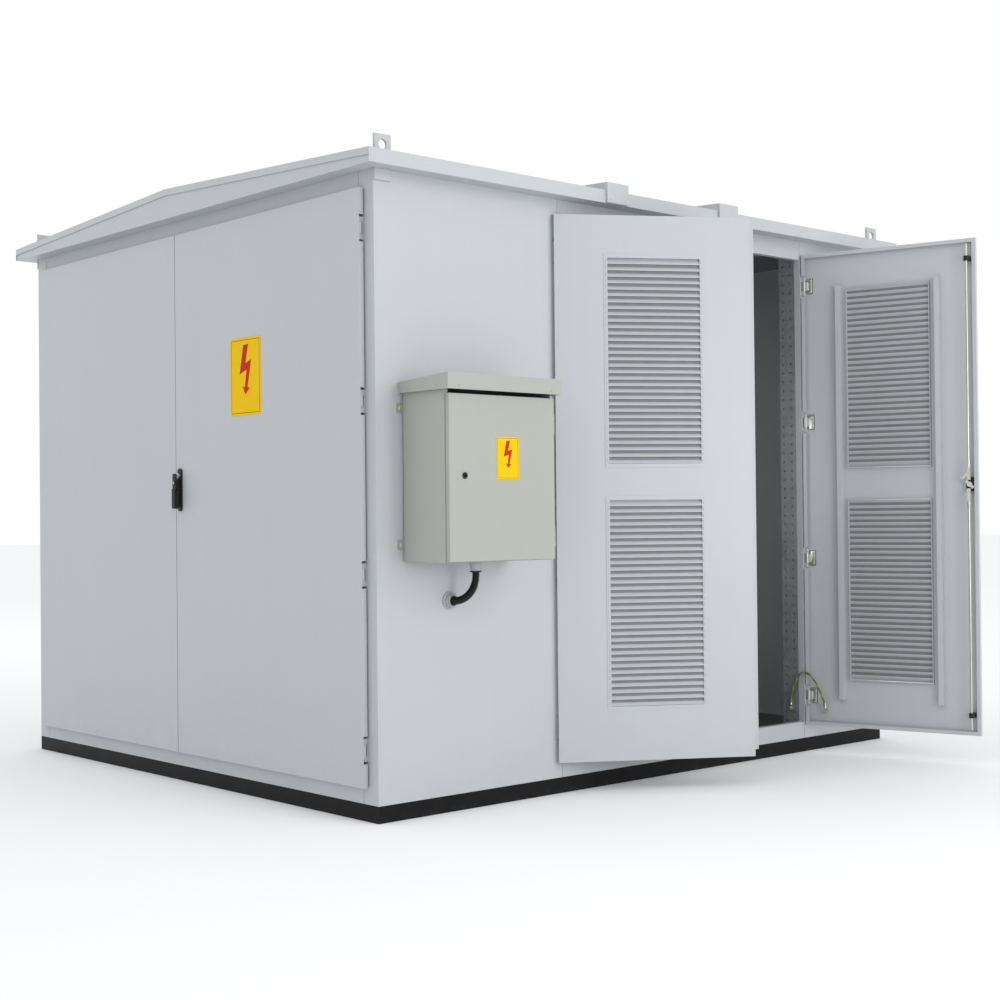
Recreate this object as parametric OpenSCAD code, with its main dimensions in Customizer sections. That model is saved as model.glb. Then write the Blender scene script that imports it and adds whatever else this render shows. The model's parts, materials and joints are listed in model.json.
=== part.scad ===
// Walk-in compact transformer substation in a sheet-steel kiosk.
// Origin at the centre of the base's underside, +X along the long side, +Z up.
// The louvred double doors are on the -Y side and the plain double doors on the -X gable.

/* [Housing] */
// Length of the housing along X
body_len = 2960; // [2900:10:3100]
// Width of the housing along Y
body_wid = 2560; // [2500:10:2700]
// Height of the black base channels
base_h = 60; // [60:5:100]
// Height of the wall tops above the ground
wall_top = 2272; // [2260:1:2400]
// Depth of a folded wall panel
panel_d = 30; // [25:1:40]
// Thickness of the sheet steel
sheet = 2; // [1.5:0.5:2.5]

/* [Roof] */
// Overhang of the roof past each wall
roof_over = 75; // [60:5:110]
// Height of the eave fascia
eave_h = 51; // [45:1:60]
// Rise of the ridge above the eave
roof_rise = 68; // [50:1:120]
// Width of a raised seam cap
cap_w = 119; // [90:1:150]
// Height of a seam cap above the roof sheet
cap_h = 30; // [20:1:40]

/* [Front doors] */
// Distance from the near corner to the left leaf's hinge edge
front_leaf_start = 854; // [840:1:870]
// Distance from the near corner to the right leaf's hinge edge
front_leaf_end = 2412; // [2400:1:2420]
// Opening angle of the left leaf as stored
left_open = 32.6; // [0:0.1:60]
// Opening angle of the right leaf as stored
right_open = 105; // [60:1:108]
// Height of a louvre panel
louvre_h = 820; // [700:10:860]
// Width of a louvre panel
louvre_w = 396; // [300:2:420]
// Number of slats in a louvre panel
slat_count = 32; // [16:1:36]

/* [Gable doors] */
// Distance from the near corner to the seam between the gable leaves
gable_seam = 1292; // [1260:1:1300]
// Distance from the corner to a gable leaf's hinge edge
gable_margin = 53; // [48:1:60]

/* [All doors] */
// Bottom of the door leaves above the ground
leaf_z0 = 119; // [115:1:125]
// Height of the door leaves
leaf_h = 2092; // [2080:1:2110]
// Thickness of a door leaf
leaf_t = 20; // [18:1:24]

/* [Meter box] */
// Width of the meter box
box_w = 500; // [480:5:520]
// Height of the meter box
box_h = 600; // [560:5:640]
// Depth of the meter box with its door
box_d = 250; // [220:5:280]
// Distance from the near corner to the box
box_start = 118; // [110:1:140]
// Bottom of the box above the ground
box_z0 = 902; // [880:1:960]

/* [Hidden] */

hl = body_len / 2;
hw = body_wid / 2;
eps = 0.5;
seam_gap = 2;

// Doors
pivot_in = 10;            // pivot's distance from the leaf's hinge edge
leaf_gap = 5;             // air between a closed leaf and the wall
pivot_off = leaf_gap + leaf_t / 2;
centre_gap = 4;
door_overlap = 30;        // how far a leaf laps the wall beside the left hinge
right_overlap = 24;
front_leaf_w = (front_leaf_end - front_leaf_start - centre_gap) / 2;
front_open_l = front_leaf_start + door_overlap;
front_open_r = front_leaf_end - right_overlap;
open_z0 = leaf_z0 + 13;
open_z1 = leaf_z0 + leaf_h - 21;
leaf_return = 16;         // width of the folded return around a leaf's inner face
left_pivot = [-hl + front_leaf_start + pivot_in, -hw - pivot_off];
right_pivot = [-hl + front_leaf_end - pivot_in, -hw - pivot_off];
gable_near_w = gable_seam - centre_gap / 2 - gable_margin;
gable_far_w = body_wid - gable_margin - gable_seam - centre_gap / 2;
near_pivot = [-hl - pivot_off, -hw + gable_margin + pivot_in];
far_pivot = [-hl - pivot_off, hw - gable_margin - pivot_in];
gable_strip = gable_margin + door_overlap;

// Hinges
hinge_levels = [131, 741, 1346, 1951];  // above the leaf's bottom edge
hinge_h = 80;
hinge_notch = 96;
pin_r = 4;
pin_fit = 0.05;
plate_t = 3;

// Louvres in a leaf, from its hinge edge and bottom edge
louvre_u = 192;
louvre_z = [193, 1123];
slat_pitch = (louvre_h - 30) / slat_count;
rear_vent_x = [150, 850];

// Locks
lock_u = 34;              // the lock's distance from the free edge
lock_z = 1056;            // spindle height above the leaf's bottom edge
gable_lift = 61;          // the gable door's spindle stands this much higher
handle_h = 172;
handle_w = 28;
spindle_r = 6;
rod_r = 4;
rod_y = leaf_t / 2 + 16;  // rods stand this far inside the leaf's mid plane
keep_r = 8;
rod_inset = 26;           // from a rod's retracted end to the leaf's edge
lever_y = -leaf_t / 2 - 19.5;  // cross pin on which a swing lever lifts
lever_pin_r = 2;
lever_turned = 90;        // the front lever is stored turned to open

// Roof
eave_top = wall_top + eave_h;
roof_y = hw + roof_over;
roof_x = hl + roof_over;
roof_cuts = [1137, 1805];
edge_band = 26;
pitch_rise = roof_rise / roof_y;
eye_in = 35;              // a lifting eye's distance from the corner

// Transformer
tank_x = 430;
tank_y = 120;
tank_l = 1000;
tank_w = 380;
tank_z0 = base_h + 104;
tank_h = 880;
lid_z = tank_z0 + tank_h;
fin_d = 140;
fin_t = 8;
fin_pitch = 50;
winding_xs = [-320, 0, 320];
hv_y = 110;
lv_y = -110;

// Switchgear room
partition_x = -hl + 840;
rmu_y = -760;
lv_board_y = 560;
gear_x = -hl + 110;
rmu_h = 1380;
switch_z = 900;           // height of the ring main unit's switch spindles above the base
knob_r = 10;
main_switch_z = 1380;     // height of the main switch's spindle above the base
handle_r = 9;
cable_z = 1640;           // height of the high-voltage cables' run
bar_z = lid_z + 139;      // height of the low-voltage busbars, on the bushings' studs

steel = "lightgray";
inner_grey = "silver";

// ---------------------------------------------------------------- helpers

// A folded panel: sheet on the -Y side, returns all round, open towards +Y
module pan(w, h, d = panel_d) {
    difference() {
        cube([w, d, h]);
        translate([sheet, sheet, sheet])
            cube([w - 2 * sheet, d, h - 2 * sheet]);
    }
}

// A closed sheet-steel cabinet
module cabinet(size, t = 3) {
    difference() {
        cube(size);
        translate([t, t, t]) cube([size[0] - 2 * t, size[1] - 2 * t, size[2] - 2 * t]);
    }
}

// A folded panel that turns a corner, with a narrow return along +Y at x = 0
module corner_pan(w, ret, h) {
    difference() {
        union() {
            cube([w, panel_d, h]);
            cube([panel_d, ret, h]);
        }
        translate([sheet, sheet, sheet])
            cube([w - 2 * sheet, ret - 2 * sheet, h - 2 * sheet]);
    }
}

// Stands a leaf's own frame at its pivot: hinge edge at -X, outer face at -Y
module at_front_left() {
    translate([left_pivot[0], left_pivot[1], leaf_z0])
        rotate([0, 0, -left_open]) children();
}
module at_front_right() {
    translate([right_pivot[0], right_pivot[1], leaf_z0])
        rotate([0, 0, right_open]) mirror([1, 0, 0]) children();
}
module at_gable_far() {
    translate([far_pivot[0], far_pivot[1], leaf_z0]) rotate([0, 0, -90]) children();
}
module at_gable_near() {
    translate([near_pivot[0], near_pivot[1], leaf_z0])
        rotate([0, 0, -90]) mirror([1, 0, 0]) children();
}

// A door leaf of width w in its own frame, with cut-outs for louvres if it has them
module leaf(w, louvred = false, lock_at = 0) {
    difference() {
        translate([-pivot_in, -leaf_t / 2, 0]) cube([w, leaf_t, leaf_h]);
        translate([sheet - pivot_in, sheet - leaf_t / 2, sheet])
            cube([w - 2 * sheet, leaf_t - 2 * sheet, leaf_h - 2 * sheet]);
        translate([leaf_return - pivot_in, 0, leaf_return])
            cube([w - 2 * leaf_return, leaf_t, leaf_h - 2 * leaf_return]);
        for (z = hinge_levels)
            translate([-pivot_in - 1, sheet - leaf_t / 2, z - hinge_notch / 2])
                cube([pivot_in + 19, leaf_t, hinge_notch]);
        if (louvred)
            for (z = louvre_z)
                translate([louvre_u + 12 - pivot_in, -leaf_t, z + 12])
                    cube([louvre_w - 24, leaf_t, louvre_h - 24]);
        if (lock_at > 0)
            translate([w - pivot_in - lock_u, 0, lock_at]) rotate([90, 0, 0])
                cylinder(r = spindle_r + 1, h = leaf_t, $fn = 32);
    }
    for (z = hinge_levels)
        difference() {
            translate([-6, sheet - leaf_t / 2 - eps, z - 19])
                cube([22, 14 + eps, 38]);
            translate([0, 0, z - 20]) cylinder(r = pin_r + pin_fit, h = 40, $fn = 48);
        }
}

// The fixed half of a concealed hinge, in a leaf's frame with the leaf shut
module hinge_bracket() {
    translate([-3, pivot_off - plate_t, -hinge_h / 2]) cube([17, plate_t, hinge_h]);
    for (s = [-1, 1])
        translate([-3, -5, s * (hinge_h / 2 - 10) - 10]) cube([12, pivot_off + 4, 20]);
    translate([0, 0, -hinge_h / 2]) cylinder(r = pin_r, h = hinge_h, $fn = 48);
}
module hinge_column() {
    for (z = hinge_levels) translate([0, 0, z]) hinge_bracket();
}

// One louvre panel: rim, slats and centre rib, in a leaf's frame
module louvre_panel() {
    slat_w = slat_pitch * 1.05;
    inner = louvre_w - 26;
    difference() {
        union() {
            translate([0, -1.5, 0]) cube([louvre_w, 1.5, louvre_h]);
            translate([13, -1.5, 13]) cube([inner, 17, louvre_h - 26]);
        }
        translate([15, -3, 15]) cube([louvre_w - 30, 30, louvre_h - 30]);
    }
    for (i = [0:slat_count - 1])
        translate([14, 5, 15 + (i + 0.5) * slat_pitch])
            rotate([50, 0, 0])
                translate([0, -slat_w / 2 + 3, -0.8]) cube([louvre_w - 28, slat_w - 4, 1.6]);
}
module leaf_louvres() {
    for (z = louvre_z)
        translate([louvre_u - pivot_in, -leaf_t / 2, z]) louvre_panel();
}

// Two upright hat-section stiffeners on the inner face of a louvred leaf
module leaf_rails() {
    rail_z0 = 120;
    rail_h = leaf_h - 270;
    for (u = [louvre_u - 40, louvre_u + louvre_w + 5])
        translate([u - pivot_in, sheet - leaf_t / 2, rail_z0])
            difference() {
                union() {
                    translate([0, 0, 0]) cube([35, 1.5, rail_h]);
                    translate([7, 0, 0]) cube([21, leaf_t + 4, rail_h]);
                }
                translate([8.5, -1, -1]) cube([18, leaf_t + 3.5, rail_h + 2]);
            }
}

// Swing-handle dish on the outer face, lock case inside, rod guides if it has rods
module lock_case(w, rods) {
    u = w - pivot_in - lock_u;
    dish_drop = handle_h - 28;
    difference() {
        union() {
            translate([u, -leaf_t / 2, lock_z + 14]) rotate([90, 0, 0])
                cylinder(d = handle_w, h = 7, $fn = 48);
            translate([u, -leaf_t / 2, lock_z - dish_drop + 14]) rotate([90, 0, 0])
                cylinder(d = handle_w, h = 7, $fn = 48);
            translate([u - handle_w / 2, -leaf_t / 2 - 7, lock_z - dish_drop + 14])
                cube([handle_w, 7, dish_drop]);
            translate([u - 16, sheet - leaf_t / 2, lock_z - 30]) cube([32, leaf_t - 4, 60]);
        }
        translate([u, leaf_t, lock_z]) rotate([90, 0, 0])
            cylinder(r = spindle_r + pin_fit, h = 3 * leaf_t, $fn = 48);
    }
    if (rods)
        for (z = [rod_inset + 60, leaf_h - rod_inset - 60])
            difference() {
                union() {
                    translate([u - 11, sheet - leaf_t / 2, z - 10])
                        cube([22, rod_y + leaf_t / 2 - sheet, 20]);
                    translate([u, rod_y, z - 10]) cylinder(r = 11, h = 20, $fn = 48);
                }
                translate([u, rod_y, z - 11]) cylinder(r = rod_r + pin_fit, h = 22, $fn = 48);
            }
}

// Spindle through the leaf with its cam on the inside and its head under the lever
module lock_cam(w, turn) {
    u = w - pivot_in - lock_u;
    inner = leaf_t / 2 + 7;
    reach = 22;
    translate([u, 0, lock_z]) rotate([0, turn, 0]) {
        translate([0, inner, 0]) rotate([90, 0, 0])
            cylinder(r = spindle_r, h = inner + leaf_t / 2 + 7.5, $fn = 48);
        translate([0, inner, 0]) rotate([90, 0, 0]) cylinder(r = 11, h = 4, $fn = 48);
        rotate([0, 45, 0]) translate([-6, inner - 4, -reach]) cube([12, 4, 2 * reach]);
        translate([0, -leaf_t / 2 - 7.5, 0]) rotate([90, 0, 0]) cylinder(r = 9, h = 7, $fn = 48);
        for (s = [-1, 1]) {
            translate([s * 7 - 2, lever_y, -4]) cube([4, 6, 8]);
            translate([s * 7 - 2, lever_y, 0]) rotate([0, 90, 0]) cylinder(r = 4, h = 4, $fn = 48);
        }
        translate([-9, lever_y, 0]) rotate([0, 90, 0]) cylinder(r = lever_pin_r, h = 18, $fn = 32);
    }
}

// Lever of the swing handle, hung on the spindle head's cross pin
module lock_lever(w, turn) {
    u = w - pivot_in - lock_u;
    translate([u, lever_y, lock_z]) rotate([0, turn, 0])
        difference() {
            union() {
                translate([-4.6, 0, 0]) rotate([0, 90, 0]) cylinder(r = 4.3, h = 9.2, $fn = 48);
                translate([-4.6, -6, -4.3]) cube([9.2, 6, 8.6]);
                translate([-12, -12, -58]) cube([24, 7, 66]);
                translate([-12, -16, -128]) cube([24, 15, 72]);
                for (s = [-1, 1])
                    translate([s * 6, -1, -128]) rotate([90, 0, 0]) cylinder(d = 12, h = 15, $fn = 40);
            }
            translate([-6, 0, 0]) rotate([0, 90, 0])
                cylinder(r = lever_pin_r + pin_fit, h = 12, $fn = 48);
        }
}

// A lock rod between two heights above the leaf's bottom edge, with a flat drive end
module lock_rod(w, z0, z1, drive_z) {
    u = w - pivot_in - lock_u;
    translate([u, rod_y, z0]) cylinder(r = rod_r, h = z1 - z0, $fn = 40);
    translate([u - 8, rod_y - 3, drive_z - 10]) cube([16, 6, 20]);
}

// A tube of radius r swept along a list of points, with rings of n sides
function unit(v) = v / norm(v);
function tangent(p, i) =
    unit(p[min(i + 1, len(p) - 1)] - p[max(i - 1, 0)]);
function ring(c, t, ref, r, n) =
    let (a = unit(cross(t, ref)), b = cross(t, a))
    [for (k = [0:n - 1]) c + r * (cos(360 * k / n) * a + sin(360 * k / n) * b)];
module tube_along(p, ref, r, n = 10) {
    m = len(p);
    rings = [for (i = [0:m - 1]) ring(p[i], tangent(p, i), ref, r, n)];
    points = [for (q = rings) for (v = q) v];
    sides = [for (i = [0:m - 2]) for (k = [0:n - 1])
        [i * n + k, i * n + (k + 1) % n, (i + 1) * n + (k + 1) % n, (i + 1) * n + k]];
    first = [[for (k = [0:n - 1]) n - 1 - k]];
    last = [[for (k = [0:n - 1]) (m - 1) * n + k]];
    polyhedron(points, concat(sides, first, last));
}

// The roof sheet's cross-section: two slopes and the fascias folded down at the eaves
module roof_section() {
    y = roof_y;
    z0 = wall_top;
    z1 = eave_top;
    z2 = eave_top + roof_rise;
    t = sheet;
    polygon([[-y, z0], [-y, z1], [0, z2], [y, z1], [y, z0],
        [y - t, z0], [y - t, z1 - t], [0, z2 - t], [t - y, z1 - t], [t - y, z0]]);
}
module along_x(x0, x1) {
    translate([x0, 0, 0]) rotate([90, 0, 90]) linear_extrude(x1 - x0) children();
}

// ---------------------------------------------------------------- base and floor

module channel_x(l) {
    difference() {
        cube([l, 50, base_h]);
        translate([-1, 5, 6]) cube([l + 2, 50, base_h - 12]);
    }
}
module channel_y(l) {
    difference() {
        cube([50, l, base_h]);
        translate([5, -1, 6]) cube([50, l + 2, base_h - 12]);
    }
}
module base_frame() {
    anchor_in = 130;
    color("black") {
        translate([-hl, -hw, 0]) channel_x(body_len);
        mirror([0, 1, 0]) translate([-hl, -hw, 0]) channel_x(body_len);
        translate([-hl, -hw, 0]) channel_y(body_wid);
        mirror([1, 0, 0]) translate([-hl, -hw, 0]) channel_y(body_wid);
        for (x = [partition_x - 25, -80, 700])
            translate([x, 5 - hw, 0]) channel_y(body_wid - 10);
        for (sx = [-1, 1], sy = [-1, 1])
            difference() {
                translate([sx * (hl - anchor_in) - 90, sy * (hw - anchor_in) - 90, 0])
                    cube([180, 180, 12]);
                translate([sx * (hl - anchor_in), sy * (hw - anchor_in), -1])
                    cylinder(d = 22, h = 14, $fn = 48);
            }
        translate([-100, -100, 0]) cube([200, 200, 12]);
    }
}

module floor_plates() {
    plate_z = base_h;
    in = panel_d + seam_gap;
    corner_cut = 120;
    jamb_cut = 65;
    color("dimgray") {
        difference() {
            translate([-hl + in, in - hw, plate_z])
                cube([partition_x + hl - in - 4, body_wid - 2 * in, 4]);
            for (y = [rmu_y, lv_board_y])
                translate([gear_x + 560, y, plate_z - 1]) cylinder(d = 110, h = 6, $fn = 64);
            for (y = [-hw, hw - corner_cut])
                translate([-hl, y, 0]) cube([corner_cut, corner_cut, 2 * plate_z]);
            translate([front_open_l - hl - jamb_cut, -hw, 0])
                cube([jamb_cut + 5, corner_cut + 5, 2 * plate_z]);
        }
        difference() {
            translate([partition_x + panel_d + 4, in - hw, plate_z])
                cube([hl - partition_x - panel_d - in - 4, body_wid - 2 * in, 4]);
            for (y = [-hw, hw - corner_cut])
                translate([hl - corner_cut, y, 0]) cube([corner_cut, corner_cut, 2 * plate_z]);
            for (x = [front_open_l - hl - jamb_cut, front_open_r - hl - 5])
                translate([x, -hw, 0]) cube([jamb_cut + 5, corner_cut + 5, 2 * plate_z]);
        }
    }
}

// ---------------------------------------------------------------- frame and walls

module corner_post(l, side) {
    difference() {
        cube([side, side, l]);
        translate([3, 3, -1]) cube([side, side, l + 2]);
    }
}
// The perforated face of a jamb post looks into the doorway, its flange backs the wall
module jamb_post(l) {
    difference() {
        cube([50, 84, l]);
        translate([3, 3, -1]) cube([50, 84, l + 2]);
        for (y = [22, 64], z = [30:40:l - 20])
            translate([-1, y, z]) rotate([0, 90, 0]) cylinder(r = 5.5, h = 6, $fn = 16);
    }
}
module frame_posts() {
    post_z = base_h;
    post_l = wall_top - base_h - 40;
    d = panel_d + 1;
    color("darkgray") {
        for (sx = [-1, 1], sy = [-1, 1])
            mirror([sx > 0 ? 1 : 0, 0, 0]) mirror([0, sy > 0 ? 1 : 0, 0])
                translate([d - hl, d - hw, post_z]) corner_post(post_l, 80);
        translate([front_open_r - hl, d - hw, post_z]) jamb_post(post_l);
        translate([front_open_l - hl, d - hw, post_z]) mirror([1, 0, 0]) jamb_post(post_l);
    }
}

module front_left_wall() {
    color(steel)
        difference() {
            translate([-hl, -hw, base_h])
                corner_pan(front_open_l, gable_strip, wall_top - base_h);
            translate(wall_gland_at) rotate([90, 0, 0]) translate([0, 0, -2 * sheet])
                cylinder(r = wall_gland_r, h = 4 * sheet, $fn = 64);
        }
}
module front_right_wall() {
    color(steel)
        translate([front_open_r - hl, -hw, base_h])
            pan(body_len - front_open_r, wall_top - base_h);
}
module keep_holes() {
    x = -hl + front_leaf_start + front_leaf_w + centre_gap + lock_u;
    translate([x, rod_y - hw - pivot_off, 0]) cylinder(r = keep_r, h = wall_top - 10, $fn = 40);
}
module front_lintel() {
    w = front_open_r - front_open_l - 2 * seam_gap;
    x = front_open_l + seam_gap - hl;
    color(steel)
        difference() {
            union() {
                translate([x, -hw, open_z1]) pan(w, wall_top - open_z1);
                translate([x, -hw, base_h]) pan(w, open_z0 - base_h);
            }
            translate([0, 0, base_h + sheet + 1]) keep_holes();
        }
}
module gable_lintel() {
    w = body_wid - 2 * gable_strip - 2 * seam_gap;
    color(steel)
        translate([-hl, hw - gable_strip - seam_gap, 0]) rotate([0, 0, -90]) {
            translate([0, 0, open_z1]) pan(w, wall_top - open_z1);
            translate([0, 0, base_h]) pan(w, open_z0 - base_h);
        }
}
module rear_wall() {
    corner_w = 120;
    color(steel) mirror([0, 1, 0]) {
        translate([-hl, -hw, base_h]) corner_pan(corner_w, gable_strip, wall_top - base_h);
        difference() {
            translate([corner_w + seam_gap - hl, -hw, base_h])
                pan(body_len - corner_w - seam_gap, wall_top - base_h);
            for (x = rear_vent_x, z = louvre_z)
                translate([x + 12, -hw - 20, leaf_z0 + z + 12])
                    cube([louvre_w - 24, 60, louvre_h - 24]);
        }
    }
}
module rear_louvres() {
    color(steel)
        for (x = rear_vent_x, z = louvre_z)
            translate([x, hw, leaf_z0 + z]) mirror([0, 1, 0]) louvre_panel();
}
module end_wall() {
    color(steel)
        translate([hl, panel_d + seam_gap - hw, base_h]) rotate([0, 0, 90])
            pan(body_wid - 2 * panel_d - 2 * seam_gap, wall_top - base_h);
}
module partition_wall() {
    w = body_wid - 2 * panel_d - seam_gap - 10;
    h = wall_top - base_h - 60;
    color(inner_grey)
        difference() {
            translate([partition_x, hw - panel_d - seam_gap, base_h])
                rotate([0, 0, -90]) pan(w, h);
            translate([partition_x - 1, -545, cable_z - 60]) cube([40, 400, 120]);
            translate([partition_x - 1, tank_y + lv_y - 50, bar_z - 35]) cube([40, 250, 80]);
        }
}

// ---------------------------------------------------------------- roof

module eye_slots() {
    for (sx = [-1, 1], sy = [-1, 1])
        translate([sx * (hl - eye_in) - 40, sy * (hw + 5) - 8, wall_top - 60])
            cube([80, 16, 200]);
}
module roof_sheets() {
    edges = [0, roof_cuts[0], roof_cuts[1], body_len];
    color(steel)
        difference() {
            for (i = [0:2])
                along_x(edges[i] - hl - (i == 0 ? roof_over : -1),
                    edges[i + 1] - hl + (i == 2 ? roof_over : -1))
                    roof_section();
            eye_slots();
        }
    color(steel)
        for (x = [-roof_x, roof_x - sheet])
            along_x(x, x + sheet)
                polygon([[-roof_y, eave_top - edge_band], [-roof_y, eave_top],
                    [0, eave_top + roof_rise], [roof_y, eave_top],
                    [roof_y, eave_top - edge_band], [0, eave_top + roof_rise - edge_band]]);
}
module roof_seam_caps() {
    skirt = 9;
    color(steel)
        for (c = roof_cuts)
            difference() {
                along_x(c - hl - cap_w / 2, c - hl + cap_w / 2)
                    polygon([[-roof_y - skirt, wall_top + 2], [-roof_y - skirt, eave_top + cap_h],
                        [0, eave_top + roof_rise + cap_h], [roof_y + skirt, eave_top + cap_h],
                        [roof_y + skirt, wall_top + 2], [roof_y + eps, wall_top + 2],
                        [roof_y + eps, eave_top + eps], [0, eave_top + roof_rise + eps],
                        [-roof_y - eps, eave_top + eps], [-roof_y - eps, wall_top + 2]]);
                along_x(c - hl - cap_w / 2 + sheet, c - hl + cap_w / 2 - sheet)
                    polygon([[-roof_y - skirt + sheet, 0],
                        [-roof_y - skirt + sheet, eave_top + cap_h - sheet],
                        [0, eave_top + roof_rise + cap_h - sheet],
                        [roof_y + skirt - sheet, eave_top + cap_h - sheet], [roof_y + skirt - sheet, 0]]);
            }
}
module roof_fascia() {
    in = 4;
    side = roof_y - sheet - eps;
    lap = 20;
    color(steel)
        difference() {
            for (sx = [-1, 1]) mirror([sx > 0 ? 1 : 0, 0, 0]) {
                along_x(-roof_x + in, -roof_x + in + sheet)
                    polygon([[-side, wall_top], [-side, eave_top - 2 * sheet],
                        [0, eave_top + roof_rise - 2 * sheet],
                        [side, eave_top - 2 * sheet], [side, wall_top]]);
                translate([-roof_x + in, -side, wall_top]) cube([roof_over - in + lap, 2 * side, sheet]);
            }
            eye_slots();
        }
    color(steel)
        difference() {
            for (sy = [-1, 1]) mirror([0, sy > 0 ? 1 : 0, 0])
                translate([-hl + lap + 1, -side, wall_top])
                    cube([body_len - 2 * lap - 2, roof_over - sheet - eps + lap, sheet]);
            eye_slots();
        }
}
module roof_rafters() {
    web = 3;
    under = sheet + 1;
    foot = hw - panel_d - 32;
    foot_top = eave_top + (roof_y - foot) * pitch_rise - under;
    color("darkgray")
        for (x = [-hl + 200, -500, 100, 900, hl - 200])
            along_x(x, x + web)
                polygon([[-foot, wall_top - 38], [-foot, foot_top],
                    [0, eave_top + roof_rise - under],
                    [foot, foot_top], [foot, wall_top - 38]]);
}
module lifting_eyes() {
    eye_w = 72;
    eye_z = eave_top + 34;
    color(steel)
        for (sx = [-1, 1], sy = [-1, 1])
            translate([sx * (hl - eye_in), sy * (hw + 5) + 5, 0]) rotate([90, 0, 0])
                difference() {
                    translate([-eye_w / 2, wall_top - 40, 0])
                        cube([eye_w, eye_z + eye_w / 2 - wall_top + 40, 10]);
                    translate([0, eye_z, -1]) cylinder(r = 18, h = 12, $fn = 64);
                }
}

// ---------------------------------------------------------------- hinges and earthing

module hinge_brackets() {
    color("gainsboro") {
        translate([left_pivot[0], left_pivot[1], leaf_z0]) hinge_column();
        translate([right_pivot[0], right_pivot[1], leaf_z0]) mirror([1, 0, 0]) hinge_column();
        at_gable_far() hinge_column();
        at_gable_near() hinge_column();
    }
}
module earth_bar() {
    bar_x = front_open_r - hl + 27;
    bar_y = panel_d + 16 - hw;
    bar_l = 456;
    color("peru") {
        difference() {
            translate([bar_x, bar_y, 230]) cube([bar_l, 6, 40]);
            for (i = [0:4])
                translate([bar_x + 67 + i * 80, bar_y - 1, 250]) rotate([-90, 0, 0])
                    cylinder(d = 11, h = 8, $fn = 48);
        }
        for (x = [bar_x + 2, bar_x + bar_l - 18])
            translate([x, bar_y - 12, 238]) cube([16, 12, 24]);
    }
}

// ---------------------------------------------------------------- meter box

box_x = -hl + box_start;
box_shell_d = box_d - 20;
box_hinge = [box_x + box_w + 7, -hw - box_shell_d - 6];
box_door_z0 = box_z0 + 3;
box_door_h = box_h - 24;
box_hinge_levels = [60, box_door_h - 110];
gland_x = box_x + 237;
gland_y = -hw - 114;
box_lock_x = box_x + 73;
box_lock_z = box_z0 + 298;
module box_body() {
    color("tan")
        difference() {
            translate([box_x, -hw - box_shell_d, box_z0]) cube([box_w, box_shell_d - 6, box_h]);
            translate([box_x + sheet, -hw - box_shell_d - 1, box_z0 + sheet])
                cube([box_w - 2 * sheet, box_shell_d - 6 - sheet + 1, box_h - 2 * sheet]);
            translate([gland_x, gland_y, box_z0 - 1]) cylinder(r = 16.2, h = 5, $fn = 48);
        }
    color("tan")
        translate([box_x + 1, -hw - box_shell_d, box_z0 + 1]) cube([15, sheet, box_h - 2]);
}
// A folded hood, higher at the front, on a plate that sits on the box
module box_hood() {
    over = 18;
    reach = box_d + 22;
    wide = box_w + 2 * over;
    seat = box_z0 + box_h;
    skirt_z = seat - 8;
    front_top = seat + 48;
    back_top = seat + 30;
    color("tan")
        translate([box_x - over, -hw - reach, 0]) rotate([90, 0, 90])
            difference() {
                linear_extrude(wide)
                    polygon([[0, skirt_z], [0, front_top], [reach, back_top], [reach, skirt_z]]);
                translate([0, 0, sheet]) linear_extrude(wide - 2 * sheet) {
                    translate([sheet, skirt_z - 1]) square([reach, seat - skirt_z + 1]);
                    polygon([
                        [sheet, seat + sheet], [sheet, front_top - sheet],
                        [reach + 1, back_top - sheet], [reach + 1, seat + sheet]
                    ]);
                }
            }
}
module box_lugs() {
    color("gray") {
        for (sx = [-1, 1], z = [box_z0 + 45, box_z0 + box_h - 75])
            translate([sx > 0 ? box_x + box_w : box_x - 26, -hw - 6, z]) {
                cube([26, 6, 30]);
                translate([sx > 0 ? 11 : 15, 0, 15]) rotate([90, 0, 0])
                    cylinder(d = 14, h = 5, $fn = 6);
                translate([sx > 0 ? -12 : 26, 0, 0]) cube([12, 6, 30]);
            }
        for (z = box_hinge_levels)
            translate([box_hinge[0], box_hinge[1], box_door_z0 + z - 16]) {
                cylinder(r = 5.5, h = 15.5, $fn = 48);
                cylinder(r = 2.5, h = 64, $fn = 48);
                translate([-7, 2, 0]) cube([7, 7, 15.5]);
            }
    }
}
module box_back_plate() {
    color("silver") {
        translate([box_x + 30, -hw - 30, box_z0 + 30]) cube([box_w - 60, 2, box_h - 60]);
        for (x = [50, box_w - 50], z = [50, box_h - 50])
            translate([box_x + x, -hw - 28, box_z0 + z]) rotate([-90, 0, 0])
                cylinder(r = 6, h = 28 - 6 - sheet, $fn = 32);
    }
}
module energy_meter() {
    mx = box_x + 70;
    my = -hw - 30;
    mz = box_z0 + 300;
    color("white")
        difference() {
            union() {
                translate([mx, my - 62, mz + 50]) cube([170, 62, 180]);
                translate([mx + 10, my - 50, mz]) cube([150, 50, 50]);
            }
            translate([mx + 30, my - 63, mz + 160]) cube([110, 3, 40]);
        }
}
module box_breakers() {
    bx = box_x + 90;
    bz = box_z0 + 150;
    color("ivory") {
        translate([bx - 20, -hw - 38, bz + 32]) cube([360, 7.5, 35]);
        for (i = [0:7]) {
            translate([bx + i * 36.5, -hw - 82, bz + 5]) cube([35.5, 44, 88]);
            translate([bx + i * 36.5 + 12, -hw - 100, bz + 35]) cube([12, 19, 20]);
        }
        for (i = [0:11])
            translate([bx + i * 24, -hw - 70, bz - 80]) cube([23, 40, 44]);
    }
}
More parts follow.
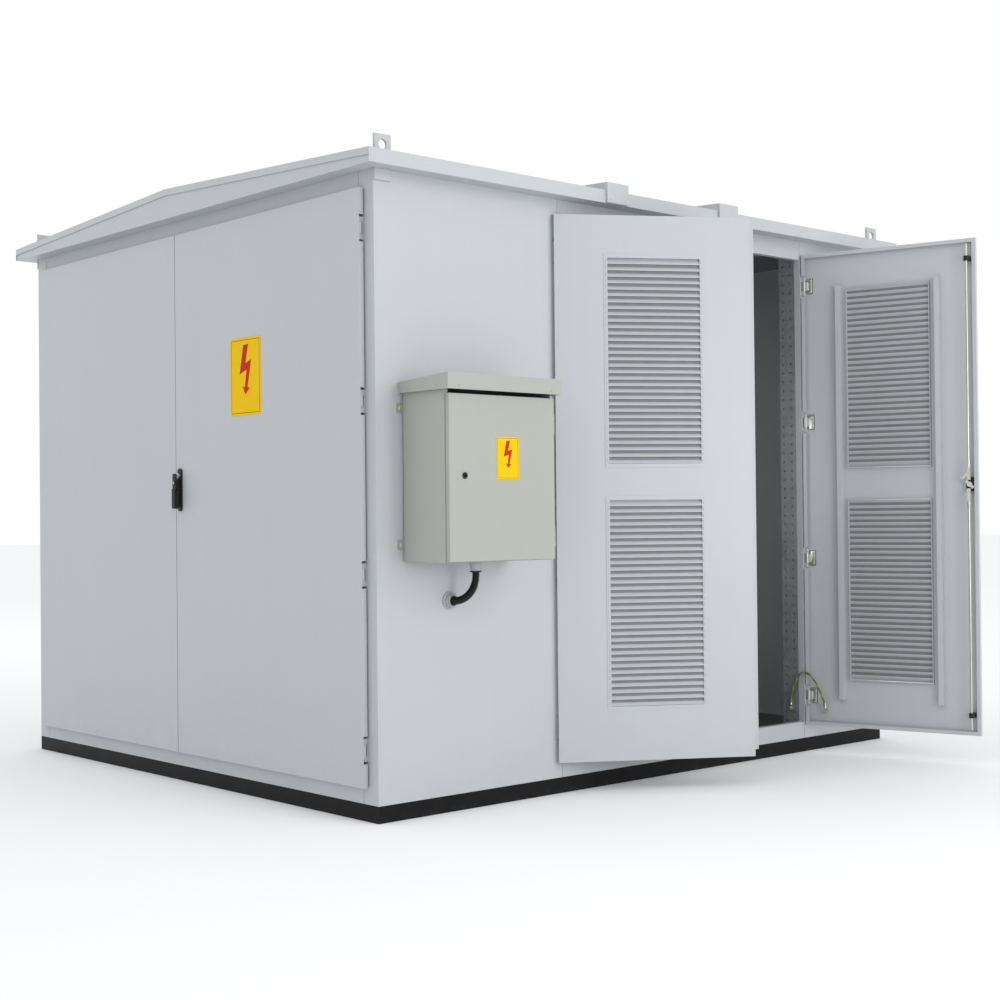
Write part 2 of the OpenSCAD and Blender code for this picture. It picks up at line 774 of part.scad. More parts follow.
module box_gland() {
    color("gray")
        translate([gland_x, gland_y, box_z0])
            difference() {
                union() {
                    translate([0, 0, -12]) cylinder(d = 46, h = 12, $fn = 6);
                    translate([0, 0, -36]) cylinder(d1 = 36, d2 = 42, h = 24, $fn = 64);
                    translate([0, 0, -1]) cylinder(r = 16, h = 14, $fn = 64);
                }
                translate([0, 0, -40]) cylinder(r = 14.3, h = 60, $fn = 64);
            }
}
conduit_r = 14;
conduit_bend = 92;
conduit_top = [gland_x, gland_y, box_z0 - 30];
conduit_run = 108;
conduit_turn = 15.5;
conduit_drop = 22;
wall_gland_r = 18;
wall_gland_at = [gland_x - sin(conduit_turn) * 102, -hw, conduit_top[2] - conduit_drop - conduit_bend];
module conduit() {
    color("black")
        translate(conduit_top) rotate([0, 0, conduit_turn]) {
            translate([0, 0, -conduit_drop]) cylinder(r = conduit_r, h = conduit_drop + 26, $fn = 32);
            translate([0, conduit_bend, -conduit_drop]) rotate([0, -90, 0]) rotate([0, 0, 180])
                rotate_extrude(angle = 90, $fn = 96)
                    translate([conduit_bend, 0]) circle(r = conduit_r, $fn = 32);
            translate([0, conduit_bend - 0.1, -conduit_drop - conduit_bend]) rotate([-90, 0, 0])
                cylinder(r = conduit_r, h = conduit_run - conduit_bend, $fn = 32);
        }
}
module wall_gland() {
    color("gray")
        translate(wall_gland_at) rotate([90, 0, 0])
            difference() {
                union() {
                    cylinder(d = 66, h = 5, $fn = 64);
                    cylinder(d = 52, h = 14, $fn = 8);
                    cylinder(d1 = 46, d2 = 40, h = 24, $fn = 64);
                }
                translate([0, 0, -1]) cylinder(r = wall_gland_r, h = 30, $fn = 64);
            }
}
module box_door() {
    dz0 = box_door_z0;
    dh = box_door_h;
    dw = box_w - 6;
    color("tan") {
        difference() {
            translate([box_x + 4, -hw - box_d, dz0]) cube([dw, 19, dh]);
            translate([box_x + 4 + sheet, -hw - box_d + sheet, dz0 + sheet])
                cube([dw - 2 * sheet, 19, dh - 2 * sheet]);
            translate([box_lock_x, -hw - box_d - 1, box_lock_z]) rotate([-90, 0, 0])
                cylinder(r = 9.05, h = 10, $fn = 48);
        }
        for (z = box_hinge_levels)
            difference() {
                union() {
                    translate([box_hinge[0], box_hinge[1], dz0 + z]) cylinder(r = 5.5, h = 50, $fn = 40);
                    translate([box_hinge[0] - 9, box_hinge[1] - 8, dz0 + z]) cube([7, 8, 50]);
                    translate([box_hinge[0] - 9, box_hinge[1] - 5.5, dz0 + z]) cube([9, 4, 50]);
                }
                translate([box_hinge[0], box_hinge[1], dz0 + z - 1]) cylinder(r = 2.55, h = 52, $fn = 40);
            }
    }
}
module box_lock() {
    color("dimgray")
        translate([box_lock_x, -hw - box_d, box_lock_z])
            difference() {
                union() {
                    translate([0, -2, 0]) rotate([-90, 0, 0]) cylinder(r = 9, h = 26, $fn = 48);
                    translate([0, -2.5, 0]) rotate([-90, 0, 0]) cylinder(r = 11.5, h = 2, $fn = 48);
                    translate([-8, box_d - box_shell_d + 3, -65]) cube([16, 3, 73]);
                }
                translate([0, -3, 0]) rotate([-90, 0, 0]) cylinder(r = 4, h = 8, $fn = 32);
            }
}

// ---------------------------------------------------------------- transformer

module transformer_tank() {
    z1 = tank_z0 + 60;
    fin_h = tank_h - 160;
    color("slategray") {
        difference() {
            translate([tank_x - tank_l / 2, tank_y - tank_w / 2, tank_z0]) cube([tank_l, tank_w, tank_h]);
            translate([tank_x - tank_l / 2 + 6, tank_y - tank_w / 2 + 6, tank_z0 + 6])
                cube([tank_l - 12, tank_w - 12, tank_h]);
        }
        for (i = [0:floor((tank_l - 60) / fin_pitch)])
            for (s = [-1, 1])
                translate([tank_x - tank_l / 2 + 25 + i * fin_pitch,
                    tank_y + s * (tank_w / 2 + fin_d / 2 - 1) - fin_d / 2, z1])
                    cube([fin_t, fin_d, fin_h]);
        for (i = [0:floor((tank_w - 40) / fin_pitch)])
            for (s = [-1, 1])
                translate([tank_x + s * (tank_l / 2 + fin_d / 2 - 1) - fin_d / 2,
                    tank_y - tank_w / 2 + 16 + i * fin_pitch, z1])
                    cube([fin_d, fin_t, fin_h]);
        difference() {
            translate([tank_x - tank_l / 2 - 30, tank_y - tank_w / 2 - 30, lid_z - 10])
                cube([tank_l + 60, tank_w + 60, 10]);
            translate([tank_x - tank_l / 2 + 6, tank_y - tank_w / 2 + 6, lid_z - 20])
                cube([tank_l - 12, tank_w - 12, 40]);
        }
        translate([tank_x + tank_l / 2 - 90, tank_y - tank_w / 2 - 150, tank_z0 + 25]) rotate([-90, 0, 0])
            cylinder(r = 16, h = 151, $fn = 48);
        translate([tank_x + tank_l / 2 - 90, tank_y - tank_w / 2 - 150, tank_z0 + 25]) rotate([-90, 0, 0])
            cylinder(r = 24, h = 26, $fn = 6);
    }
}
module transformer_lid() {
    color("slategray")
        difference() {
            union() {
                translate([tank_x - tank_l / 2 - 30, tank_y - tank_w / 2 - 30, lid_z])
                    cube([tank_l + 60, tank_w + 60, 10]);
                for (sx = [-1, 1], sy = [-1, 1], i = [0:8])
                    translate([tank_x - 480 + i * 120, tank_y + sy * (tank_w / 2 + 17), lid_z + 9])
                        cylinder(d = 20, h = 9, $fn = 6);
                for (sx = [-1, 1])
                    translate([tank_x + sx * 440 - 5, tank_y - 30, lid_z + 9])
                        difference() {
                            cube([10, 60, 70]);
                            translate([-1, 30, 42]) rotate([0, 90, 0]) cylinder(r = 16, h = 12, $fn = 48);
                        }
                translate([tank_x - 470, tank_y + 100, lid_z + 9]) cylinder(r = 24, h = 60, $fn = 48);
                translate([tank_x - 470, tank_y + 100, lid_z + 68]) cylinder(r = 32, h = 70, $fn = 48);
                translate([tank_x + 450, tank_y - 120, lid_z + 9]) cylinder(r = 26, h = 40, $fn = 48);
            }
            translate([tank_x + 450, tank_y - 120, lid_z + 1]) cylinder(r = 8.05, h = 60, $fn = 48);
            for (x = winding_xs)
                translate([tank_x + x * 0.7, tank_y + hv_y, lid_z - 1]) cylinder(r = 22, h = 20, $fn = 48);
            for (i = [0:3])
                translate([tank_x - 240 + i * 160, tank_y + lv_y, lid_z - 1])
                    cylinder(r = 20, h = 20, $fn = 48);
        }
}
module transformer_core() {
    core_z = tank_z0 + 60;
    color("dimgray") {
        for (x = winding_xs)
            translate([tank_x + x, tank_y, core_z]) cylinder(r = 72, h = 700, $fn = 64);
        for (z = [core_z - 20, core_z + 600])
            translate([tank_x - 400, tank_y - 72, z]) cube([800, 144, 130]);
        for (x = [-300, 250])
            translate([tank_x + x, tank_y - 90, tank_z0 + 6]) cube([50, 180, 35]);
    }
}
module transformer_windings() {
    coil_z = tank_z0 + 178;
    color("chocolate")
        for (x = winding_xs)
            translate([tank_x + x, tank_y, coil_z])
                difference() {
                    cylinder(r = 150, h = 470, $fn = 96);
                    translate([0, 0, -1]) cylinder(r = 76, h = 472, $fn = 64);
                    translate([0, 0, -1])
                        difference() {
                            cylinder(r = 118, h = 440, $fn = 96);
                            cylinder(r = 110, h = 440, $fn = 96);
                        }
                }
}
module hv_bushings() {
    color("saddlebrown")
        for (x = winding_xs)
            translate([tank_x + x * 0.7, tank_y + hv_y, lid_z - 40]) {
                cylinder(r = 20, h = 340, $fn = 48);
                translate([0, 0, 50.2]) cylinder(r = 40, h = 24, $fn = 48);
                for (i = [0:5])
                    translate([0, 0, 90 + i * 36]) cylinder(r1 = 48, r2 = 26, h = 18, $fn = 48);
                translate([0, 0, 339]) cylinder(r = 8, h = 50, $fn = 32);
            }
}
module lv_bushings() {
    color("saddlebrown")
        for (i = [0:3])
            translate([tank_x - 240 + i * 160, tank_y + lv_y, lid_z - 40]) {
                cylinder(r = 18, h = 150, $fn = 48);
                translate([0, 0, 50.2]) cylinder(r = 34, h = 60, $fn = 48);
                translate([0, 0, 110]) cylinder(r1 = 40, r2 = 24, h = 20, $fn = 48);
                translate([0, 0, 149]) cylinder(r = 10, h = 30, $fn = 32);
            }
}
module transformer_skids() {
    color("darkslategray")
        for (y = [-200, 150])
            translate([tank_x - 560, tank_y + y, base_h + 4])
                difference() {
                    cube([1120, 50, 100]);
                    translate([-1, 8, 8]) cube([1122, 50, 84]);
                }
}
module tap_knob() {
    color("black")
        translate([tank_x + 450, tank_y - 120, lid_z + 12]) {
            cylinder(r = 8, h = 70, $fn = 48);
            translate([0, 0, 38]) cylinder(r = 30, h = 24, $fn = 12);
            translate([-7, -38, 60]) cube([14, 76, 16]);
        }
}

// ---------------------------------------------------------------- switchgear

module ring_main_unit() {
    w = 900;
    d = 620;
    bays = 3;
    bay_w = (w - 12) / bays;
    color("whitesmoke")
        translate([gear_x, rmu_y - w / 2, base_h])
            difference() {
                union() {
                    translate([0, 0, 4]) cabinet([d, w, rmu_h]);
                    for (i = [0:bays - 1]) {
                        translate([-12, 12 + i * bay_w, 44]) cabinet([13, bay_w - 12, 500], 1.5);
                        translate([-8, 12 + i * bay_w, 560]) cube([9, bay_w - 12, 780]);
                        translate([-20, 6 + (i + 0.5) * bay_w, switch_z]) rotate([0, 90, 0])
                            cylinder(r = 45, h = 60, $fn = 64);
                    }
                }
                translate([-30, w / 2, switch_z]) rotate([0, 90, 0])
                    cylinder(r = knob_r + pin_fit, h = 60, $fn = 48);
                for (y = [6 + bay_w / 2, w - 6 - bay_w / 2])
                    translate([-30, y, switch_z]) rotate([0, 90, 0]) cylinder(r = 11, h = 50, $fn = 6);
            }
}
module ring_main_knob() {
    color("black")
        translate([gear_x - 20, rmu_y, base_h + switch_z]) {
            translate([-2, 0, 0]) rotate([0, 90, 0]) cylinder(r = knob_r, h = 45, $fn = 48);
            translate([-16, 0, 0]) rotate([0, 90, 0]) cylinder(r = 32, h = 15, $fn = 64);
            translate([-34, -8, -45]) cube([20, 16, 90]);
        }
}
module lv_switchboard() {
    w = 1240;
    d = 400;
    h = 1800;
    color("whitesmoke")
        translate([gear_x, lv_board_y - w / 2, base_h])
            difference() {
                union() {
                    translate([40, 0, 4]) cabinet([d, w, h]);
                    translate([-20, 40, 1100]) cabinet([61, 420, 560]);
                    translate([-20, 250, main_switch_z]) rotate([0, 90, 0])
                        cylinder(r = 24, h = 40, $fn = 64);
                    for (i = [0:9]) {
                        translate([-40, 40 + i * 116, 360]) cabinet([81, 100, 640]);
                        translate([-52, 62 + i * 116, 820]) cube([13, 56, 18]);
                    }
                    translate([20, 520, 1100]) cube([21, 660, 560]);
                    for (i = [0:2])
                        translate([8, 570 + i * 200, 1400]) cube([13, 144, 144]);
                }
                translate([-21, 250, main_switch_z]) rotate([0, 90, 0])
                    cylinder(r = handle_r + pin_fit, h = 41, $fn = 48);
            }
}
module main_switch_handle() {
    color("black")
        translate([gear_x - 21, lv_board_y - 370, base_h + main_switch_z]) {
            translate([-6, 0, 0]) rotate([0, 90, 0]) cylinder(r = handle_r, h = 40, $fn = 48);
            translate([-14, 0, 0]) rotate([0, 90, 0]) cylinder(r = 26, h = 12, $fn = 64);
            translate([-40, -12, -20]) cube([27, 24, 150]);
        }
}
// A corner from p to q round the point c, as steps along a parabola
function corner(p, c, q, steps) =
    [for (i = [0:steps]) let (u = i / steps) (1 - u) * (1 - u) * p + 2 * u * (1 - u) * c + u * u * q];

// Cables from the ring main unit's roof through the partition to the high-voltage bushings
module hv_cables() {
    start = base_h + 4 + rmu_h;
    stud_top = lid_z - 40 + 389;
    bend = 150;
    color("firebrick")
        for (i = [0:2]) {
            from = [gear_x + 450, rmu_y + 390 - i * 130, 0];
            to = [tank_x + winding_xs[i] * 0.7, tank_y + hv_y, 0];
            along = unit(to - from);
            high = [0, 0, cable_z];
            path = concat([from + [0, 0, start]],
                corner(from + high - [0, 0, bend * 0.8], from + high, from + high + bend * along, 8),
                corner(to + high - bend * along, to + high, to + high - [0, 0, bend], 8),
                [to + [0, 0, stud_top]]);
            tube_along(path, cross(along, [0, 0, 1]), 16, 12);
        }
}
module lv_busbars() {
    bar_w = 40;
    bar_t = 8;
    pitch = 48;
    x0 = gear_x + 440;
    color("peru")
        for (i = [0:3]) {
            x1 = tank_x - 240 + i * 160;
            y = tank_y + lv_y;
            translate([x0, y + i * pitch - bar_w / 2, bar_z])
                cube([x1 - x0 + bar_w / 2, bar_w, bar_t]);
            translate([x1 - bar_w / 2, y - bar_w / 2, bar_z])
                cube([bar_w, i * pitch + bar_w, bar_t]);
        }
}

// ---------------------------------------------------------------- doors

module front_left_leaf() {
    strip_w = 30;
    color(steel)
        at_front_left() {
            leaf(front_leaf_w, louvred = true);
            translate([front_leaf_w - pivot_in - strip_w, leaf_t / 2 - eps, 24])
                cube([strip_w - 1, 3, leaf_h - 48]);
            translate([front_leaf_w - pivot_in - strip_w, leaf_t / 2 + eps, 24])
                cube([strip_w + 20, 2, leaf_h - 48]);
        }
}
module front_left_louvres() {
    color(steel) at_front_left() leaf_louvres();
}
module front_left_rails() {
    color(steel) at_front_left() leaf_rails();
}
module front_right_leaf() {
    color(steel) at_front_right() leaf(front_leaf_w, louvred = true, lock_at = lock_z);
}
module front_right_louvres() {
    color(steel) at_front_right() leaf_louvres();
}
module front_right_rails() {
    color(steel) at_front_right() leaf_rails();
}
module front_lock() {
    color("black") at_front_right() lock_case(front_leaf_w, true);
}
module front_lock_cam() {
    color("silver") at_front_right() lock_cam(front_leaf_w, lever_turned);
}
module front_handle() {
    color("black") at_front_right() lock_lever(front_leaf_w, lever_turned);
}
module front_upper_rod() {
    color("silver") at_front_right()
        lock_rod(front_leaf_w, lock_z + 20, leaf_h - rod_inset, lock_z + 28);
}
module front_lower_rod() {
    color("silver") at_front_right()
        lock_rod(front_leaf_w, rod_inset, lock_z - 20, lock_z - 28);
}
module front_earth_lead() {
    a = [right_pivot[0] - 19.5, -hw + 70, 205];
    b = [right_pivot[0] + 8, -hw - 97, 200];
    rise = 150;
    steps = 24;
    color("yellowgreen")
        tube_along([for (i = [0:steps])
            let (u = i / steps)
            a + u * (b - a) + [-20 * sin(180 * u), 0, rise * sin(180 * u)]], [1, 0, 0.01], 4.5);
}
module gable_left_leaf() {
    color(steel) at_gable_far() leaf(gable_far_w);
}
module gable_right_leaf() {
    color(steel) at_gable_near() leaf(gable_near_w, lock_at = lock_z + gable_lift);
}
module gable_lock() {
    color("black") at_gable_near() translate([0, 0, gable_lift]) lock_case(gable_near_w, false);
}
module gable_lock_cam() {
    color("silver") at_gable_near() translate([0, 0, gable_lift]) lock_cam(gable_near_w, 0);
}
module gable_handle() {
    color("black") at_gable_near() translate([0, 0, gable_lift]) lock_lever(gable_near_w, 0);
}

base_frame();
floor_plates();
frame_posts();
front_left_wall();
front_right_wall();
front_lintel();
gable_lintel();
rear_wall();
end_wall();
roof_sheets();
roof_seam_caps();
roof_fascia();
roof_rafters();
lifting_eyes();
partition_wall();
rear_louvres();
hinge_brackets();
earth_bar();
box_body();
box_hood();
box_lugs();
box_back_plate();
energy_meter();
box_breakers();
box_gland();
conduit();
wall_gland();
transformer_tank();
transformer_lid();
transformer_core();
transformer_windings();
hv_bushings();
lv_bushings();
transformer_skids();
ring_main_unit();
lv_switchboard();
hv_cables();
lv_busbars();
tap_knob();
ring_main_knob();
main_switch_handle();
box_door();
box_lock();
front_left_leaf();
front_left_louvres();
front_left_rails();
front_right_leaf();
front_right_louvres();
front_right_rails();
front_lock();
front_lock_cam();
front_handle();
front_upper_rod();
front_lower_rod();
front_earth_lead();
gable_left_leaf();
gable_right_leaf();
gable_lock();
gable_lock_cam();
gable_handle();
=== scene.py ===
"""Looks of a walk-in compact transformer substation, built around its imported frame."""

import json
import math
import random

import bmesh
import bpy
from bpy.props import FloatProperty, FloatVectorProperty, IntProperty, PointerProperty
from mathutils import Matrix, Vector


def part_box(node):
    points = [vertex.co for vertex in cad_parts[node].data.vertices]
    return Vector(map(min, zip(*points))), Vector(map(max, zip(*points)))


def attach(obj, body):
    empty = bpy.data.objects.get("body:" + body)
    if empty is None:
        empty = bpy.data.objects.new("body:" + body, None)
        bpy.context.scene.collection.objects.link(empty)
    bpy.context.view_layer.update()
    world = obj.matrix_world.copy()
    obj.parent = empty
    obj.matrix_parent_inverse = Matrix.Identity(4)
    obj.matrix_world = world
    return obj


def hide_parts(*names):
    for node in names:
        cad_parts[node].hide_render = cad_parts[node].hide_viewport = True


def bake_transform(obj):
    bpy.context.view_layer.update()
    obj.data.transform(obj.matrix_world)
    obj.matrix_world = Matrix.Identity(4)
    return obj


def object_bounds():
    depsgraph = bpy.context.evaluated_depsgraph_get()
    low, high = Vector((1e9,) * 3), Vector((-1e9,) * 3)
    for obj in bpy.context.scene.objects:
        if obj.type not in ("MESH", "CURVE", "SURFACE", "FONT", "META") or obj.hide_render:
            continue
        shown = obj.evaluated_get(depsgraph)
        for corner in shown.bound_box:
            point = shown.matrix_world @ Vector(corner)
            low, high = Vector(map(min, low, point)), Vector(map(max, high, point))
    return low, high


bl_info = {
    "name": "Kiosk substation looks",
    "version": (1, 0, 0),
    "blender": (4, 5, 0),
    "location": "3D View > Sidebar > Kiosk",
    "description": "Finishes and fittings of a walk-in transformer kiosk",
    "category": "Object",
}

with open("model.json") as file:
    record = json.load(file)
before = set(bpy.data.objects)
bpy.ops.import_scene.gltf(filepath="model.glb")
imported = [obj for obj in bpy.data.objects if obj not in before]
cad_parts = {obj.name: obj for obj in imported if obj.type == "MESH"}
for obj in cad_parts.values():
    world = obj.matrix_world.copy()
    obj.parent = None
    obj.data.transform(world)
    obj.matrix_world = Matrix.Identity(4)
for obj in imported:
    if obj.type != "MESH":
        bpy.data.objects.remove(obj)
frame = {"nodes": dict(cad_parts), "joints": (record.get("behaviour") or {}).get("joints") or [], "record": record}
CAD_LOW, CAD_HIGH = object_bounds()
RECORD = frame["record"]
JOINTS = {j["name"]: j for j in frame["joints"]}
SLOT_OF = {p["node"]: p["material_slot"] for p in RECORD["subparts"]}
BODY_OF = {n: b for b, ns in RECORD["behaviour"]["bodies"].items() for n in ns}
X, Y, Z = Vector((1, 0, 0)), Vector((0, 1, 0)), Vector((0, 0, 1))


# ------------------------------------------------------------------ places


def leaf_frame(joint, node, base=0.0, mirrored=False):
    """The matrix from a leaf's own frame (hinge axis at 0, free edge at +X, inside at +Y) to the row."""
    j = JOINTS[joint]
    turn = -math.radians(j["range_deg"][0]) * j["axis"][2]
    place = Vector((j["pos_m"][0], j["pos_m"][1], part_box(node)[0].z))
    flip = Matrix.Diagonal((-1 if mirrored else 1, 1, 1, 1))
    return Matrix.Translation(place) @ Matrix.Rotation(base + turn, 4, "Z") @ flip


LEAF = {
    "front_left_door": leaf_frame("front_left_door_swing", "front_left_leaf"),
    "front_right_door": leaf_frame("front_right_door_swing", "front_right_leaf", mirrored=True),
    "gable_left_door": leaf_frame("gable_left_door_swing", "gable_left_leaf", -math.pi / 2),
    "gable_right_door": leaf_frame("gable_right_door_swing", "gable_right_leaf", -math.pi / 2, True),
}


def local_box(node, place):
    """A CAD node's lowest and highest corners in another frame."""
    back = place.inverted()
    points = [back @ v.co for v in frame["nodes"][node].data.vertices]
    return (
        Vector([min(p[i] for p in points) for i in range(3)]),
        Vector([max(p[i] for p in points) for i in range(3)]),
    )


# ------------------------------------------------------------------ shader maths


class Val:
    """A value socket. Arithmetic on it adds Math nodes to its tree."""

    def __init__(self, tree, socket):
        self.tree = tree
        self.socket = socket

    def math(self, operation, *others, clamp=False):
        node = self.tree.nodes.new("ShaderNodeMath")
        node.operation = operation
        node.use_clamp = clamp
        for i, value in enumerate((self, *others)):
            feed(self.tree, node.inputs[i], value)
        return Val(self.tree, node.outputs[0])

    def __add__(self, other):
        return self.math("ADD", other)

    __radd__ = __add__

    def __mul__(self, other):
        return self.math("MULTIPLY", other)

    __rmul__ = __mul__

    def __sub__(self, other):
        return self.math("SUBTRACT", other)

    def __rsub__(self, other):
        return (self * -1) + other

    def __truediv__(self, other):
        return self.math("DIVIDE", other)

    def __pow__(self, other):
        return self.math("POWER", other)

    def fract(self):
        return self.math("FRACT")

    def floor(self):
        return self.math("FLOOR")

    def abs(self):
        return self.math("ABSOLUTE")

    def sin(self):
        return self.math("SINE")

    def step(self, low, high):
        """0 below low, 1 above high and a straight ramp between them."""
        return ((self - low) / (high - low)).math("ADD", 0.0, clamp=True)


def feed(tree, socket, value):
    """Links a Val to a socket, or sets the socket's own value."""
    if isinstance(value, Val):
        tree.links.new(value.socket, socket)
    else:
        socket.default_value = value


class Finish:
    """One material with its Principled shader, and the way to add any node to it."""

    made = {}

    def __init__(self, name, color, rough=0.5, metal=0.0, **constants):
        self.material = bpy.data.materials.new(name)
        self.material.use_nodes = True
        self.tree = self.material.node_tree
        self.shader = self.tree.nodes["Principled BSDF"]
        self.color = (*color, 1.0)
        self.shader.inputs["Base Color"].default_value = self.color
        self.shader.inputs["Roughness"].default_value = rough
        self.shader.inputs["Metallic"].default_value = metal
        for key, value in constants.items():
            self.shader.inputs[key.replace("_", " ")].default_value = value
        self.material.diffuse_color = self.color
        self.at = self.node("ShaderNodeTexCoord", out="Object")
        Finish.made[name] = self.material

    def node(self, kind, settings=None, inputs=None, out=0):
        """Adds a node: its settings first, then the values or links of its sockets."""
        n = self.tree.nodes.new(kind)
        for key, value in (settings or {}).items():
            if key == "stops":
                while len(n.color_ramp.elements) < len(value):
                    n.color_ramp.elements.new(0.5)
                for element, (at, shade) in zip(n.color_ramp.elements, value):
                    element.position = at
                    element.color = shade
            else:
                setattr(n, key, value)
        for key, value in (inputs or {}).items():
            socket = next(s for s in n.inputs if s.name == key and s.enabled)
            feed(self.tree, socket, value)
        outs = [s for s in n.outputs if s.enabled]
        return Val(self.tree, outs[out] if isinstance(out, int) else n.outputs[out])

    def set(self, name, value):
        feed(self.tree, self.shader.inputs[name], value)

    def mapped(self, scale=(1, 1, 1), turn=(0, 0, 0)):
        return self.node(
            "ShaderNodeMapping", None, {"Vector": self.at, "Scale": scale, "Rotation": turn}
        )

    def noise(self, scale, detail=2.0, rough=0.5, at=None):
        return self.node(
            "ShaderNodeTexNoise",
            None,
            {"Vector": at or self.at, "Scale": scale, "Detail": detail, "Roughness": rough},
        )

    def axes(self):
        split = self.tree.nodes.new("ShaderNodeSeparateXYZ")
        feed(self.tree, split.inputs[0], self.at)
        return [Val(self.tree, s) for s in split.outputs]

    def mix(self, factor, a, b, blend="MIX"):
        return self.node(
            "ShaderNodeMix",
            {"data_type": "RGBA", "blend_type": blend},
            {"Factor": factor, "A": a, "B": b},
        )

    def shade(self, factor, dark=0.8, light=1.0, color=None):
        """The base colour, or another, times a grey that runs from dark to light."""
        color = color or self.color
        a = tuple(c * dark for c in color[:3]) + (1.0,)
        b = tuple(min(1.0, c * light) for c in color[:3]) + (1.0,)
        return self.mix(factor, a, b)

    def bump(self, height, distance, strength=1.0, under=None):
        inputs = {"Height": height, "Distance": distance, "Strength": strength}
        if under:
            inputs["Normal"] = under
        return self.node("ShaderNodeBump", None, inputs)


def powder_coat(name, color, rough=0.42, soil=0.5, peel=1.0):
    """Powder coat on thin sheet: orange peel, a little waviness, a film of dust low down."""
    f = Finish(name, color, rough, Coat_Weight=0.06, Coat_Roughness=0.25)
    z = f.axes()[2]
    cloud = f.noise(1.7, 4.0, 0.6)
    streak = f.noise(1.0, 3.0, 0.6, f.mapped((26, 26, 0.9)))
    low = 1 - z.step(0.05, 0.75)
    dust = (low * low * f.noise(9.0, 5.0, 0.65).step(0.30, 0.75) * soil).math("MINIMUM", 1.0)
    tone = f.shade(cloud * 0.6 + streak * 0.4, 0.955, 1.035)
    f.set("Base Color", f.mix(dust * 0.35, tone, (0.36, 0.33, 0.28, 1.0)))
    f.set("Roughness", f.noise(5.0, 3.0).step(0.2, 0.8) * 0.10 + dust * 0.2 + (rough - 0.05))
    wavy = f.bump(f.noise(2.3, 1.0), 0.004, 0.5)
    f.set("Normal", f.bump(f.noise(620.0, 1.0), 0.00012 * peel, 0.6, wavy))
    return f


def metal(name, color, rough, grain=1.0, spots=0.0, stretch=(1, 1, 1)):
    """Bare or plated metal with fine directional grain and a few dull spots."""
    f = Finish(name, color, rough, 1.0)
    grainy = f.noise(240.0, 3.0, 0.7, f.mapped(stretch))
    patch = f.noise(14.0, 4.0, 0.6)
    dull = patch.step(0.52, 0.72) * spots
    tone = f.shade(grainy, 0.86, 1.08)
    f.set("Base Color", f.mix(dull, tone, tuple(c * 0.5 for c in color) + (1.0,)))
    f.set("Roughness", grainy * 0.16 * grain + dull * 0.25 + (rough - 0.08))
    f.set("Normal", f.bump(grainy, 0.0001 * grain, 0.5))
    return f


def galvanised(name, color):
    """Hot-dip zinc: crystals of differing tone under a dull film."""
    f = Finish(name, color, 0.5, 0.55)
    cell = f.node("ShaderNodeTexVoronoi", None, {"Vector": f.at, "Scale": 95.0}, "Color")
    grey = f.node("ShaderNodeRGBToBW", None, {"Color": cell})
    film = f.noise(7.0, 5.0, 0.65)
    f.set("Base Color", f.shade(grey * 0.45 + film * 0.55, 0.74, 1.16))
    f.set("Roughness", grey * 0.16 + film * 0.2 + 0.30)
    f.set("Normal", f.bump(grey, 0.0002, 0.35))
    return f


def moulded(name, color, rough, texture=900.0, depth=0.00008, soil=0.0):
    """Moulded plastic or rubber with a fine eroded skin."""
    f = Finish(name, color, rough, Specular_IOR_Level=0.22)
    skin = f.node("ShaderNodeTexVoronoi", None, {"Vector": f.at, "Scale": texture}, "Distance")
    cloud = f.noise(24.0, 3.0, 0.6)
    wear = f.noise(60.0, 5.0, 0.7).step(0.60, 0.78) * (0.15 + soil)
    f.set(
        "Base Color",
        f.mix(wear, f.shade(cloud, 0.85, 1.12), tuple(0.5 * c + 0.10 for c in color) + (1.0,)),
    )
    f.set("Roughness", cloud * 0.14 + wear * 0.2 + (rough - 0.07))
    f.set("Normal", f.bump(skin, depth, 0.5))
    return f


